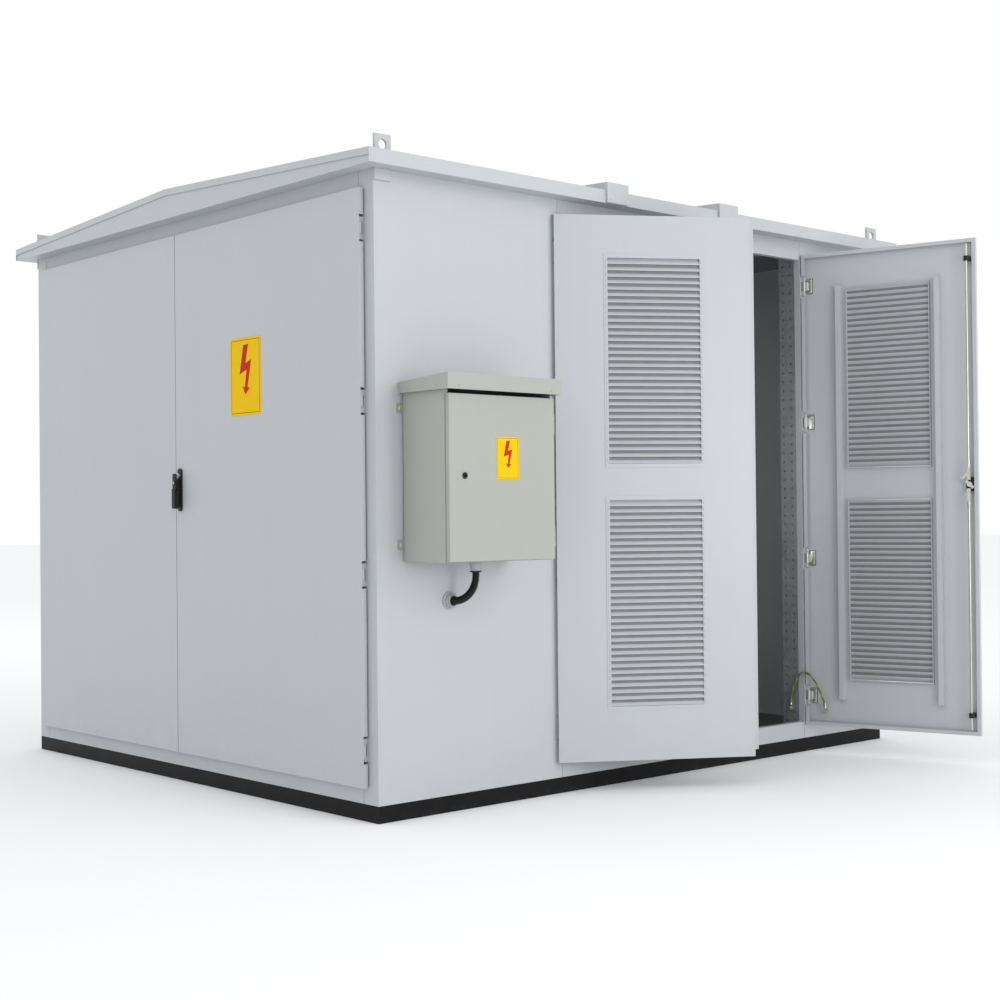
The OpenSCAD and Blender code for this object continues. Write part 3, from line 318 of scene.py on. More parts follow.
def make_finishes(tint):
    """Every material of the kiosk, by the name of its record slot or its fitting."""
    grey = tuple(tint.panel_grey)
    powder_coat("grey_paint", grey)
    # inner_paint is the panel grey darkened to 0.86: painted shade for the kiosk's inside, given to the partition
    # wall
    powder_coat("inner_paint", tuple(c * 0.86 for c in grey), 0.5)
    powder_coat("pebble_paint", tuple(tint.box_grey), 0.45, 0.2, 1.4)
    powder_coat("gear_paint", (0.60, 0.61, 0.60), 0.4, 0.2, 0.8)
    powder_coat("tank_paint", (0.18, 0.21, 0.22), 0.38, 0.8, 1.6)
    galvanised("galvanised", (0.34, 0.36, 0.37))
    metal("zinc", (0.66, 0.65, 0.60), 0.34, 1.0, 0.3)
    metal("copper", (0.74, 0.37, 0.22), 0.34, 0.8, 0.7, (0.05, 1, 1))
    metal("core_steel", (0.30, 0.30, 0.32), 0.5, 1.0, 0.6, (0.05, 8, 1))
    moulded("black_plastic", (0.014, 0.014, 0.016), 0.42)
    moulded("grey_plastic", (0.40, 0.41, 0.42), 0.5, 700.0)
    moulded("white_plastic", (0.68, 0.68, 0.65), 0.36, 500.0)
    moulded("conduit_plastic", (0.012, 0.012, 0.013), 0.46, 400.0)
    moulded("seal_rubber", (0.02, 0.02, 0.021), 0.7, 500.0, 0.0002)
    moulded("cable_red", (0.33, 0.025, 0.02), 0.5, 300.0, 0.0001, 0.1)
    moulded("cable_grey", (0.10, 0.10, 0.11), 0.5, 300.0, 0.0001, 0.1)

    base = Finish("base_paint", (0.007, 0.006, 0.0068), 0.5, Specular_IOR_Level=0.12)
    x, y, z = base.axes()
    scuff = base.noise(36.0, 6.0, 0.75).step(0.60, 0.70) * base.noise(5.0, 3.0).step(0.45, 0.6)
    splash = (1 - z.step(0.0, 0.03)) * base.noise(70.0, 4.0, 0.7).step(0.45, 0.75)
    soiled = base.mix(scuff * 0.35, base.shade(base.noise(11.0), 0.8, 1.5), (0.03, 0.028, 0.026, 1))
    base.set("Base Color", base.mix(splash * 0.35, soiled, (0.07, 0.066, 0.058, 1)))
    base.set("Roughness", scuff * 0.25 + splash * 0.25 + base.noise(8.0) * 0.12 + 0.30)
    base.set("Normal", base.bump(base.noise(180.0, 3.0), 0.0004, 0.5))

    plate = Finish("floor_steel", (0.17, 0.175, 0.18), 0.5, 0.35)
    x, y, z = plate.axes()
    u, v = (x + y) * 28.0, (x - y) * 28.0
    odd = ((u.floor() + v.floor()) * 0.5).fract() * 2.0
    across, along = (u.fract() - 0.5).abs(), (v.fract() - 0.5).abs()
    bar_a = (0.36 - along).step(0.0, 0.10) * (0.13 - across).step(0.0, 0.06) * odd
    bar_b = (0.36 - across).step(0.0, 0.10) * (0.13 - along).step(0.0, 0.06) * (1 - odd)
    bars = bar_a + bar_b
    scrape = plate.noise(60.0, 4.0, 0.7)
    plate.set("Base Color", plate.shade(bars * 0.6 + scrape * 0.5, 0.72, 1.35))
    plate.set("Roughness", scrape * 0.3 + 0.30)
    plate.set("Normal", plate.bump(bars + scrape * 0.12, 0.0015, 0.8))

    glaze = Finish("porcelain", (0.10, 0.032, 0.016), 0.13, Coat_Weight=0.5, Coat_Roughness=0.05)
    glaze.set("Base Color", glaze.shade(glaze.noise(16.0, 5.0, 0.65), 0.6, 1.7))
    glaze.set("Roughness", glaze.noise(30.0, 3.0) * 0.14 + 0.06)
    glaze.set("Normal", glaze.bump(glaze.noise(45.0, 2.0), 0.0004, 0.4))

    coil = Finish("winding", (0.44, 0.19, 0.07), 0.35, 0.6)
    x, y, z = coil.axes()
    # turn runs from 0 at the middle of each wire turn to 1 in the groove between turns
    turn = ((z * 220.0).fract() - 0.5).abs() * 2.0
    # Base colour: painted highlight towards each turn's crown and painted shade towards the grooves between turns,
    # with some random tone
    coil.set("Base Color", coil.shade(turn * 0.6 + coil.noise(20.0, 4.0) * 0.4, 1.2, 0.55))
    coil.set("Roughness", turn * 0.2 + 0.28)
    coil.set("Normal", coil.bump(turn * -1.0, 0.0008, 0.8))

    lead = Finish("earth_lead", (0.085, 0.135, 0.030), 0.5)
    stripe = lead.node("ShaderNodeAttribute", {"attribute_name": "stripe"}, None, "Fac")
    band = stripe.step(0.55, 0.72)
    skin = lead.noise(160.0, 3.0)
    lead.set("Base Color", lead.mix(band, lead.shade(skin, 0.8, 1.2), (0.27, 0.27, 0.045, 1)))
    lead.set("Roughness", skin * 0.2 + 0.36)
    lead.set("Normal", lead.bump(skin, 0.0002, 0.5))

    for name, color in (
        ("plate_yellow", tuple(tint.plate_yellow)),
        ("plate_red", (0.50, 0.030, 0.006)),
        ("plate_dark", (0.09, 0.06, 0.02)),
    ):
        ink = Finish(name, color, 0.6, Specular_IOR_Level=0.08)
        fade = ink.noise(18.0, 4.0, 0.6)
        ink.set("Base Color", ink.shade(fade, 0.93, 1.05))
        ink.set("Roughness", ink.noise(90.0, 3.0) * 0.16 + 0.5)
        ink.set("Normal", ink.bump(ink.noise(300.0, 1.0), 0.00006, 0.5))

    glass = Finish("meter_glass", (0.03, 0.035, 0.04), 0.08, Coat_Weight=0.8, Coat_Roughness=0.03)
    smear = glass.noise(26.0, 5.0, 0.7)
    glass.set("Base Color", glass.shade(smear, 0.7, 1.6))
    glass.set("Roughness", smear * 0.16 + 0.03)

    # insect mesh: an opaque dark grey, partly the mesh's own colour and partly painted shade seen through the
    # louvre gaps
    moulded("insect_mesh", (0.215, 0.218, 0.222), 0.6, 1500.0, 0.0002)

    for name, color in (
        ("mimic_red", (0.42, 0.03, 0.02)),
        ("lamp_green", (0.02, 0.32, 0.08)),
        ("dial_white", (0.80, 0.80, 0.77)),
    ):
        moulded(name, color, 0.32, 600.0, 0.00004)


# ------------------------------------------------------------------ building meshes


class Piece:
    """A mesh built from bevelled solids in a local frame, each with its own finish."""

    def __init__(self, name, place=None):
        self.name = name
        self.place = place or Matrix.Identity(4)
        self.bm = bmesh.new()
        self.finishes = []

    def _index(self, finish):
        if finish not in self.finishes:
            self.finishes.append(finish)
        return self.finishes.index(finish)

    def _add(self, part, finish, bevel=0.0, segments=2, sharp=35.0):
        if bevel:
            edges = [
                e
                for e in part.edges
                if len(e.link_faces) == 2 and e.calc_face_angle(0) > math.radians(sharp)
            ]
            bmesh.ops.bevel(
                part, geom=edges, offset=bevel, segments=segments, affect="EDGES", profile=0.5
            )
        bmesh.ops.recalc_face_normals(part, faces=part.faces)
        for face in part.faces:
            face.material_index = self._index(finish)
        mesh = bpy.data.meshes.new("part")
        part.to_mesh(mesh)
        part.free()
        mesh.transform(self.place)
        if self.place.to_3x3().determinant() < 0:
            mesh.flip_normals()
        self.bm.from_mesh(mesh)
        bpy.data.meshes.remove(mesh)
        return self

    def box(self, low, high, finish, bevel=0.0, segments=2):
        part = bmesh.new()
        bmesh.ops.create_cube(part, size=1.0)
        low, high = Vector(low), Vector(high)
        size = high - low
        for v in part.verts:
            v.co = Vector([low[i] + (v.co[i] + 0.5) * size[i] for i in range(3)])
        return self._add(part, finish, bevel, segments)

    def rod(self, at, axis, radius, length, finish, sides=32, bevel=0.0, top=None):
        part = bmesh.new()
        bmesh.ops.create_cone(
            part,
            cap_ends=True,
            segments=sides,
            radius1=radius,
            radius2=radius if top is None else top,
            depth=length,
        )
        turn = Vector(axis).normalized().to_track_quat("Z", "Y").to_matrix().to_4x4()
        part.transform(
            Matrix.Translation(at) @ turn @ Matrix.Translation((0, 0, length / 2))
        )
        return self._add(part, finish, bevel, 2, 50.0)

    def slab(self, outline, origin, across, up, thickness, finish, bevel=0.0, segments=2):
        """A flat outline of (across, up) points, thickened along across x up."""
        part = bmesh.new()
        a, b = Vector(across).normalized(), Vector(up).normalized()
        n = a.cross(b)
        base = [Vector(origin) + a * u + b * v for u, v in outline]
        low = [part.verts.new(p) for p in base]
        high = [part.verts.new(p + n * thickness) for p in base]
        part.faces.new(low)
        part.faces.new(high)
        for i in range(len(low)):
            k = (i + 1) % len(low)
            part.faces.new((low[i], low[k], high[k], high[i]))
        return self._add(part, finish, bevel, segments)

    def lathe(self, outline, at, axis, finish, sides=48):
        """Turns (radius, height) points about an axis. The outline starts and ends at radius 0."""
        part = bmesh.new()
        turn = Vector(axis).normalized().to_track_quat("Z", "Y").to_matrix().to_4x4()
        rings = []
        for r, h in outline:
            if r < 1e-7:
                rings.append([part.verts.new((0, 0, h))])
            else:
                rings.append(
                    [
                        part.verts.new(
                            (r * math.cos(math.tau * i / sides), r * math.sin(math.tau * i / sides), h)
                        )
                        for i in range(sides)
                    ]
                )
        for p, q in zip(rings, rings[1:]):
            for i in range(sides):
                k = (i + 1) % sides
                corners = [p[i % len(p)], p[k % len(p)], q[k % len(q)], q[i % len(q)]]
                part.faces.new(list(dict.fromkeys(corners)))
        part.transform(Matrix.Translation(at) @ turn)
        return self._add(part, finish)

    def tube(self, points, radius, finish, sides=14, stripe=None):
        """A round tube along a path. stripe is the pitch of a helical mark, kept as an attribute."""
        part = bmesh.new()
        layer = part.verts.layers.float.new("stripe")
        points = [Vector(p) for p in points]
        side = None
        rings = []
        run = 0.0
        for i, p in enumerate(points):
            ahead = points[min(i + 1, len(points) - 1)] - points[max(i - 1, 0)]
            ahead.normalize()
            if side is None:
                side = ahead.orthogonal().normalized()
            side = (side - ahead * side.dot(ahead)).normalized()
            other = ahead.cross(side)
            if i:
                run += (p - points[i - 1]).length
            ring = []
            for k in range(sides):
                angle = math.tau * k / sides
                v = part.verts.new(p + radius * (math.cos(angle) * side + math.sin(angle) * other))
                if stripe:
                    v[layer] = 0.5 + 0.5 * math.sin(angle + math.tau * run / stripe)
                ring.append(v)
            rings.append(ring)
        for p, q in zip(rings, rings[1:]):
            for k in range(sides):
                m = (k + 1) % sides
                part.faces.new((p[k], p[m], q[m], q[k]))
        part.faces.new(rings[0][::-1])
        part.faces.new(rings[-1])
        return self._add(part, finish)

    def finish(self, body, slot=None, replaces=(), ride=True, angle=32.0):
        mesh = bpy.data.meshes.new(self.name)
        self.bm.to_mesh(mesh)
        self.bm.free()
        for name in self.finishes:
            mesh.materials.append(Finish.made[name])
        mesh.shade_smooth()
        mesh.set_sharp_from_angle(angle=math.radians(angle))
        made = bpy.data.objects.new(self.name, mesh)
        bpy.context.scene.collection.objects.link(made)
        if replaces:
            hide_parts(*replaces)
        if ride:
            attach(made, body)
        return made


# ------------------------------------------------------------------ node trees for repeated parts


class Tree:
    """A geometry node tree with named inputs."""

    def __init__(self, name, inputs):
        self.tree = bpy.data.node_groups.new(name, "GeometryNodeTree")
        face = self.tree.interface
        face.new_socket("Geometry", in_out="INPUT", socket_type="NodeSocketGeometry")
        for label, kind, default in inputs:
            socket = face.new_socket(label, in_out="INPUT", socket_type=kind)
            if default is not None:
                socket.default_value = default
        face.new_socket("Geometry", in_out="OUTPUT", socket_type="NodeSocketGeometry")
        self.ins = self.tree.nodes.new("NodeGroupInput")
        self.outs = self.tree.nodes.new("NodeGroupOutput")

    def given(self, label):
        return self.ins.outputs[label]

    def node(self, kind, settings=None, inputs=None, out=0):
        """Adds a node: its settings first, then the values or links of its sockets."""
        n = self.tree.nodes.new(kind)
        for key, value in (settings or {}).items():
            setattr(n, key, value)
        for key, value in (inputs or {}).items():
            socket = (
                n.inputs[key]
                if isinstance(key, int)
                else next(s for s in n.inputs if s.name == key and s.enabled)
            )
            if isinstance(value, bpy.types.NodeSocket):
                self.tree.links.new(value, socket)
            elif isinstance(value, (list, tuple)) and value and isinstance(
                value[0], bpy.types.NodeSocket
            ):
                for link in reversed(value):
                    self.tree.links.new(link, socket)
            else:
                socket.default_value = value
        outs = [s for s in n.outputs if s.enabled]
        return outs[out] if isinstance(out, int) else n.outputs[out]

    def scaled(self, socket, factor):
        return self.node("ShaderNodeMath", {"operation": "MULTIPLY"}, {0: socket, 1: factor})

    def close(self, geometry):
        real = self.node("GeometryNodeRealizeInstances", None, {"Geometry": geometry})
        dressed = self.node(
            "GeometryNodeSetMaterial", None, {"Geometry": real, "Material": self.given("Finish")}
        )
        self.tree.links.new(dressed, self.outs.inputs[0])
        return self.tree


FINISH_INPUT = ("Finish", "NodeSocketMaterial", None)


def fastener_tree():
    """A chamfered screw head on a washer at each point, turned by a seeded amount."""
    t = Tree(
        "Fastener heads",
        [
            ("Head radius", "NodeSocketFloat", 0.004),
            ("Head height", "NodeSocketFloat", 0.003),
            ("Washer radius", "NodeSocketFloat", 0.006),
            ("Sides", "NodeSocketInt", 6),
            ("Seed", "NodeSocketInt", 7),
            FINISH_INPUT,
        ],
    )
    washer = t.node(
        "GeometryNodeMeshCylinder",
        None,
        {
            "Vertices": 20, "Radius": t.given("Washer radius"),
            "Depth": t.scaled(t.given("Head height"), 0.5),
        },
    )
    head = t.node(
        "GeometryNodeMeshCone",
        None,
        {
            "Vertices": t.given("Sides"),
            "Radius Bottom": t.given("Head radius"),
            "Radius Top": t.scaled(t.given("Head radius"), 0.94),
            "Depth": t.given("Head height"),
        },
    )
    crown = t.node(
        "GeometryNodeMeshCone",
        None,
        {
            "Vertices": t.given("Sides"),
            "Radius Bottom": t.scaled(t.given("Head radius"), 0.94),
            "Radius Top": t.scaled(t.given("Head radius"), 0.72),
            "Depth": t.scaled(t.given("Head height"), 0.18),
        },
    )
    lift = t.node("ShaderNodeCombineXYZ", None, {"Z": t.given("Head height")})
    raised = t.node("GeometryNodeTransform", None, {"Geometry": crown, "Translation": lift})
    whole = t.node("GeometryNodeJoinGeometry", None, {"Geometry": [washer, head, raised]})
    facing = t.node(
        "GeometryNodeInputNamedAttribute", {"data_type": "FLOAT_VECTOR"}, {"Name": "facing"}
    )
    aimed = t.node("FunctionNodeAlignRotationToVector", {"axis": "Z"}, {"Vector": facing})
    spin = t.node(
        "FunctionNodeRandomValue",
        {"data_type": "FLOAT"},
        {"Min": 0.0, "Max": math.tau, "Seed": t.given("Seed")},
    )
    about = t.node("FunctionNodeAxisAngleToRotation", None, {"Axis": (0, 0, 1), "Angle": spin})
    turned = t.node(
        "FunctionNodeRotateRotation",
        {"rotation_space": "LOCAL"},
        {"Rotation": aimed, "Rotate By": about},
    )
    placed = t.node(
        "GeometryNodeInstanceOnPoints",
        None,
        {"Points": t.given("Geometry"), "Instance": whole, "Rotation": turned},
    )
    return t.close(placed)


def tab_tree():
    """A small pressed tab at each point, its long side along the point's facing."""
    t = Tree(
        "Pressed tabs",
        [
            ("Length", "NodeSocketFloat", 0.010),
            ("Width", "NodeSocketFloat", 0.004),
            ("Height", "NodeSocketFloat", 0.0015),
            ("Seed", "NodeSocketInt", 3),
            FINISH_INPUT,
        ],
    )
    size = t.node(
        "ShaderNodeCombineXYZ",
        None,
        {"X": t.given("Width"), "Y": t.given("Length"), "Z": t.given("Height")},
    )
    block = t.node("GeometryNodeMeshCube", None, {"Size": size})
    cap_size = t.node(
        "ShaderNodeCombineXYZ",
        None,
        {
            "X": t.scaled(t.given("Width"), 0.7),
            "Y": t.scaled(t.given("Length"), 0.8),
            "Z": t.scaled(t.given("Height"), 0.5),
        },
    )
    cap = t.node("GeometryNodeMeshCube", None, {"Size": cap_size})
    lift = t.node("ShaderNodeCombineXYZ", None, {"Z": t.scaled(t.given("Height"), 0.7)})
    raised = t.node("GeometryNodeTransform", None, {"Geometry": cap, "Translation": lift})
    whole = t.node("GeometryNodeJoinGeometry", None, {"Geometry": [block, raised]})
    facing = t.node(
        "GeometryNodeInputNamedAttribute", {"data_type": "FLOAT_VECTOR"}, {"Name": "facing"}
    )
    along = t.node(
        "GeometryNodeInputNamedAttribute", {"data_type": "FLOAT_VECTOR"}, {"Name": "along"}
    )
    aimed = t.node("FunctionNodeAlignRotationToVector", {"axis": "Z"}, {"Vector": facing})
    twisted = t.node(
        "FunctionNodeAlignRotationToVector",
        {"axis": "Y", "pivot_axis": "Z"},
        {"Rotation": aimed, "Vector": along},
    )
    placed = t.node(
        "GeometryNodeInstanceOnPoints",
        None,
        {"Points": t.given("Geometry"), "Instance": whole, "Rotation": twisted},
    )
    return t.close(placed)


def hose_tree():
    """A ribbed hose along the edges of a path."""
    t = Tree(
        "Ribbed hose",
        [
            ("Radius", "NodeSocketFloat", 0.0125),
            ("Rib height", "NodeSocketFloat", 0.0014),
            ("Rib pitch", "NodeSocketFloat", 0.0055),
            ("Sides", "NodeSocketInt", 32),
            FINISH_INPUT,
        ],
    )
    path = t.node("GeometryNodeMeshToCurve", None, {"Mesh": t.given("Geometry")})
    fine = t.node(
        "GeometryNodeResampleCurve",
        {"mode": "LENGTH"},
        {"Curve": path, "Length": t.scaled(t.given("Rib pitch"), 0.125)},
    )
    length = t.node("GeometryNodeSplineParameter", None, None, "Length")
    turns = t.node("ShaderNodeMath", {"operation": "DIVIDE"}, {0: length, 1: t.given("Rib pitch")})
    wave = t.node("ShaderNodeMath", {"operation": "SINE"}, {0: t.scaled(turns, math.tau)})
    crest = t.node("ShaderNodeMath", {"operation": "MULTIPLY"}, {0: wave, 1: t.given("Rib height")})
    radius = t.node("ShaderNodeMath", {"operation": "ADD"}, {0: crest, 1: t.given("Radius")})
    ring = t.node(
        "GeometryNodeCurvePrimitiveCircle", None, {"Resolution": t.given("Sides"), "Radius": 1.0}
    )
    skin = t.node(
        "GeometryNodeCurveToMesh",
        None,
        {"Curve": fine, "Profile Curve": ring, "Scale": radius, "Fill Caps": True},
    )
    return t.close(skin)


def grow(name, tree, points, body, slot, finish, edges=(), along=None, smooth=0.0, replaces=(), **sizes):
    """Runs a node tree over points, each with its facing, and bakes the result to a plain mesh."""
    seedling = bpy.data.meshes.new(name + "_points")
    seedling.from_pydata([p for p, _ in points], list(edges), [])
    facing = seedling.attributes.new("facing", "FLOAT_VECTOR", "POINT")
    facing.data.foreach_set("vector", [c for _, n in points for c in n])
    if along is not None:
        lay = seedling.attributes.new("along", "FLOAT_VECTOR", "POINT")
        lay.data.foreach_set("vector", [c for _ in points for c in along])
    made = bpy.data.objects.new(name, seedling)
    bpy.context.scene.collection.objects.link(made)
    modifier = made.modifiers.new("grow", "NODES")
    modifier.node_group = tree
    label = {
        s.name: s.identifier
        for s in tree.interface.items_tree
        if s.item_type == "SOCKET" and s.in_out == "INPUT"
    }
    modifier[label["Finish"]] = Finish.made[finish]
    for key, value in sizes.items():
        modifier[label[key.replace("_", " ")]] = value
    bpy.context.view_layer.update()
    ready = made.evaluated_get(bpy.context.evaluated_depsgraph_get())
    baked = bpy.data.meshes.new_from_object(ready)
    made.modifiers.clear()
    made.data = baked
    bpy.data.meshes.remove(seedling)
    if not baked.polygons:
        raise RuntimeError(name + " came out empty")
    baked.shade_smooth()
    baked.set_sharp_from_angle(angle=math.radians(smooth or 30.0))
    if replaces:
        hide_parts(*replaces)
    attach(made, body)
    return made


def moved(place, points):
    """Points and facings from a local frame to the row."""
    turn = place.to_3x3()
    return [(place @ Vector(p), (turn @ Vector(n)).normalized()) for p, n in points]


# ------------------------------------------------------------------ sizes and colours


class KioskColours(bpy.types.PropertyGroup):
    panel_grey: FloatVectorProperty(
        name="Panel grey", description="Powder coat of the kiosk's sheets", subtype="COLOR",
        size=3, min=0, max=1, default=(0.468, 0.484, 0.506),
    )
    box_grey: FloatVectorProperty(
        name="Box grey", description="Powder coat of the meter box", subtype="COLOR",
        size=3, min=0, max=1, default=(0.372, 0.380, 0.345),
    )
    plate_yellow: FloatVectorProperty(
        name="Plate yellow", description="Ground of the two door plates", subtype="COLOR",
        size=3, min=0, max=1, default=(0.800, 0.510, 0.004),
    )


class KioskSizes(bpy.types.PropertyGroup):
    door_plate: FloatProperty(
        name="Door plate width", description="Width of the gable door's plate; 1.414 times as high",
        subtype="DISTANCE", default=0.210, min=0.1, max=0.3,
    )
    box_plate: FloatProperty(
        name="Box plate width", description="Width of the meter box's plate; 1.414 times as high",
        subtype="DISTANCE", default=0.105, min=0.05, max=0.15,
    )
    plate_thickness: FloatProperty(
        name="Plate thickness", description="Thickness of both plates",
        subtype="DISTANCE", default=0.0012, min=0.0005, max=0.002,
    )
    louvre_height: FloatProperty(
        name="Louvre height", description="Height of one louvre panel",
        subtype="DISTANCE", default=0.820, min=0.5, max=1.0,
    )
    louvre_width: FloatProperty(
        name="Louvre width", description="Width of one louvre panel",
        subtype="DISTANCE", default=0.396, min=0.3, max=0.5,
    )
    tab_count: IntProperty(
        name="Tabs on a side", description="Pressed tabs on each side of a louvre panel",
        default=32, min=4, max=64,
    )
    rib_pitch: FloatProperty(
        name="Rib pitch", description="Distance between the conduit's ribs",
        subtype="DISTANCE", default=0.0056, min=0.003, max=0.01,
    )
    bolt_radius: FloatProperty(
        name="Bolt head radius", description="Radius of the larger bolt heads",
        subtype="DISTANCE", default=0.0075, min=0.003, max=0.012,
    )


class KioskView(bpy.types.PropertyGroup):
    place: FloatVectorProperty(
        name="Camera place", description="Where the camera stands", subtype="TRANSLATION",
        size=3, default=(-4.8512, -5.6702, 1.0603),
    )
    heading: FloatProperty(
        name="Heading", description="Turn of the view from +Y towards +X, in degrees", default=41.963,
    )
    rise: FloatProperty(name="Rise", description="Tilt of the view above level, in degrees", default=0.575)
    roll: FloatProperty(name="Roll", description="Roll of the camera, in degrees", default=-0.554)
    lens: FloatProperty(
        name="Lens", description="Focal length on a 36 mm sensor, in millimetres", default=57.43, min=10,
    )
    sky: FloatProperty(
        name="Sky", description="Brightness of the even surrounding light", default=1.02, min=0,
    )
    key_power: FloatProperty(
        name="Key light", description="Power of the large lamp on the louvred side", subtype="POWER",
        default=200.0, min=0,
    )


# ------------------------------------------------------------------ operators


class KIOSK_OT_finishes(bpy.types.Operator):
    """Makes every material and dresses the kiosk's own parts in them"""

    bl_idname = "kiosk.finishes"
    bl_label = "Finishes"

    def execute(self, context):
        make_finishes(context.scene.kiosk_colours)
        other = {
            # the partition wall gets inner_paint, the panel grey with painted shade
            "partition_wall": "inner_paint",
            "hinge_brackets": "grey_paint",
            "box_lock": "black_plastic",
            "transformer_skids": "base_paint",
        }
        for node, shown in frame["nodes"].items():
            name = other.get(node, SLOT_OF[node])
            shown.data.materials.clear()
            shown.data.materials.append(Finish.made[name])
        return {"FINISHED"}


def plate_piece(name, place, width, thickness):
    """A thin plate with a printed edge line and one zig-zag mark. Local X is across and Z up."""
    high = width * 1.4142
    p = Piece(name, place)
    w, h, r = width / 2, high / 2, width * 0.03
    corners = [(w, h), (-w, h), (-w, -h), (w, -h)]
    outline = []
    for i, (cx, cz) in enumerate(corners):
        sx, sz = math.copysign(1, cx), math.copysign(1, cz)
        start = i * 90
        for k in range(5):
            a = math.radians(start + k * 22.5)
            outline.append((cx - sx * r + r * math.cos(a), cz - sz * r + r * math.sin(a)))
    p.slab(outline, (0, 0, 0), X, Z, thickness, "plate_yellow", thickness * 0.3, 1)
    ink = thickness * 0.12
    inset, line = width * 0.040, width * 0.010
    a, b = w - inset, h - inset
    for low, high_corner in (
        ((-a, -b), (a, -b + line)),
        ((-a, b - line), (a, b)),
        ((-a, -b + line), (-a + line, b - line)),
        ((a - line, -b + line), (a, b - line)),
    ):
        strip = [low, (high_corner[0], low[1]), high_corner, (low[0], high_corner[1])]
        p.slab(strip, (0, -thickness, 0), X, Z, ink, "plate_dark")
    mark = [
        (-0.06, 0.405), (0.10, 0.415), (0.01, 0.170), (0.20, 0.215), (0.075, -0.135),
        (0.145, -0.150), (0.005, -0.235), (-0.095, -0.125), (-0.015, -0.140), (0.045, 0.085),
        (-0.19, 0.030),
    ]
    scale = high
    p.slab(
        [(u * width, v * scale) for u, v in mark], (0, -thickness, 0), X, Z, ink, "plate_red"
    )
    return p


class KIOSK_OT_plates(bpy.types.Operator):
    """Fixes a plain yellow plate to the gable door and a smaller one to the meter box"""

    bl_idname = "kiosk.plates"
    bl_label = "Door plates"

    def execute(self, context):
        size = context.scene.kiosk_sizes
        leaf = LEAF["gable_right_door"]
        low, high = local_box("gable_right_leaf", leaf)
        flip = Matrix.Diagonal((-1, 1, 1, 1))
        at = Matrix.Translation(
            (low.x + 0.584 * (high.x - low.x), low.y, low.z + 0.709 * (high.z - low.z))
        )
        plate_piece("gable_plate", leaf @ at @ flip, size.door_plate, size.plate_thickness).finish(
            "gable_right_door", "grey_paint"
        )
        low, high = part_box("box_door")
        at = Matrix.Translation(
            (low.x + 0.527 * (high.x - low.x), low.y, low.z + 0.6215 * (high.z - low.z))
        )
        plate_piece("box_plate", at, size.box_plate, size.plate_thickness).finish(
            "meter_box_door", "pebble_paint"
        )
        return {"FINISHED"}


class KIOSK_OT_handles(bpy.types.Operator):
    """Shapes the two swing levers: finger plate, grip, split heel and lock plug"""

    bl_idname = "kiosk.handles"
    bl_label = "Swing levers"

    def execute(self, context):
        for name, node, joint, door, lever in (
            ("gable_lever_grip", "gable_handle", "gable_lever_lift", "gable_right_door", "gable_lever"),
            ("front_lever_grip", "front_handle", "front_lever_lift", "front_right_door", "front_lever"),
        ):
            leaf = LEAF[door]
            low, high = local_box(node, leaf)
            turn = math.pi / 2 if high.x - low.x > high.z - low.z else 0.0
            pivot = leaf.inverted() @ Vector(JOINTS[joint]["pos_m"])
            place = leaf @ Matrix.Translation(pivot) @ Matrix.Rotation(turn, 4, "Y")
            p = Piece(name, place)
            crown = [(-0.012, -0.060), (0.012, -0.060), (0.012, 0.0)]
            crown += [
                (0.012 * math.cos(a), 0.0075 * math.sin(a))
                for a in [math.radians(15 * k) for k in range(1, 12)]
            ]
            crown += [(-0.012, 0.0)]
            p.slab(crown, (0, -0.0052, 0), X, Z, 0.0068, "black_plastic", 0.0016, 3)
            heel = [
                (-0.012, -0.054), (-0.012, -0.127), (-0.0095, -0.1325), (-0.0055, -0.134),
                (-0.0018, -0.1315), (0.0, -0.1275), (0.0018, -0.1315), (0.0055, -0.134),
                (0.0095, -0.1325), (0.012, -0.127), (0.012, -0.054),
            ]
            p.slab(heel[::-1], (0, -0.0012, 0), X, Z, 0.0145, "black_plastic", 0.0028, 3)
            p.slab(
                [(-0.0065, -0.120), (0.0065, -0.120), (0.0065, -0.066), (-0.0065, -0.066)],
                (0, -0.0150, 0), X, Z, 0.0009, "black_plastic", 0.0004, 2,
            )
            p.rod((0, -0.0118, -0.030), -Y, 0.0082, 0.0022, "black_plastic", 40, 0.0006)
            p.rod((0, -0.0138, -0.030), -Y, 0.0052, 0.0009, "zinc", 32, 0.0002)
            p.box((-0.0008, -0.0149, -0.0334), (0.0008, -0.0145, -0.0266), "seal_rubber")
            p.rod((-0.0045, 0, 0), X, 0.0042, 0.009, "black_plastic", 32, 0.0005)
            p.box((-0.0095, -0.0060, -0.126), (0.0095, 0.0112, -0.013), "black_plastic", 0.0020, 2)
            p.box((-0.0045, -0.0062, -0.0042), (0.0045, -0.001, 0.0042), "black_plastic", 0.0006)
            p.finish(lever, "black_plastic", (node,))
        return {"FINISHED"}


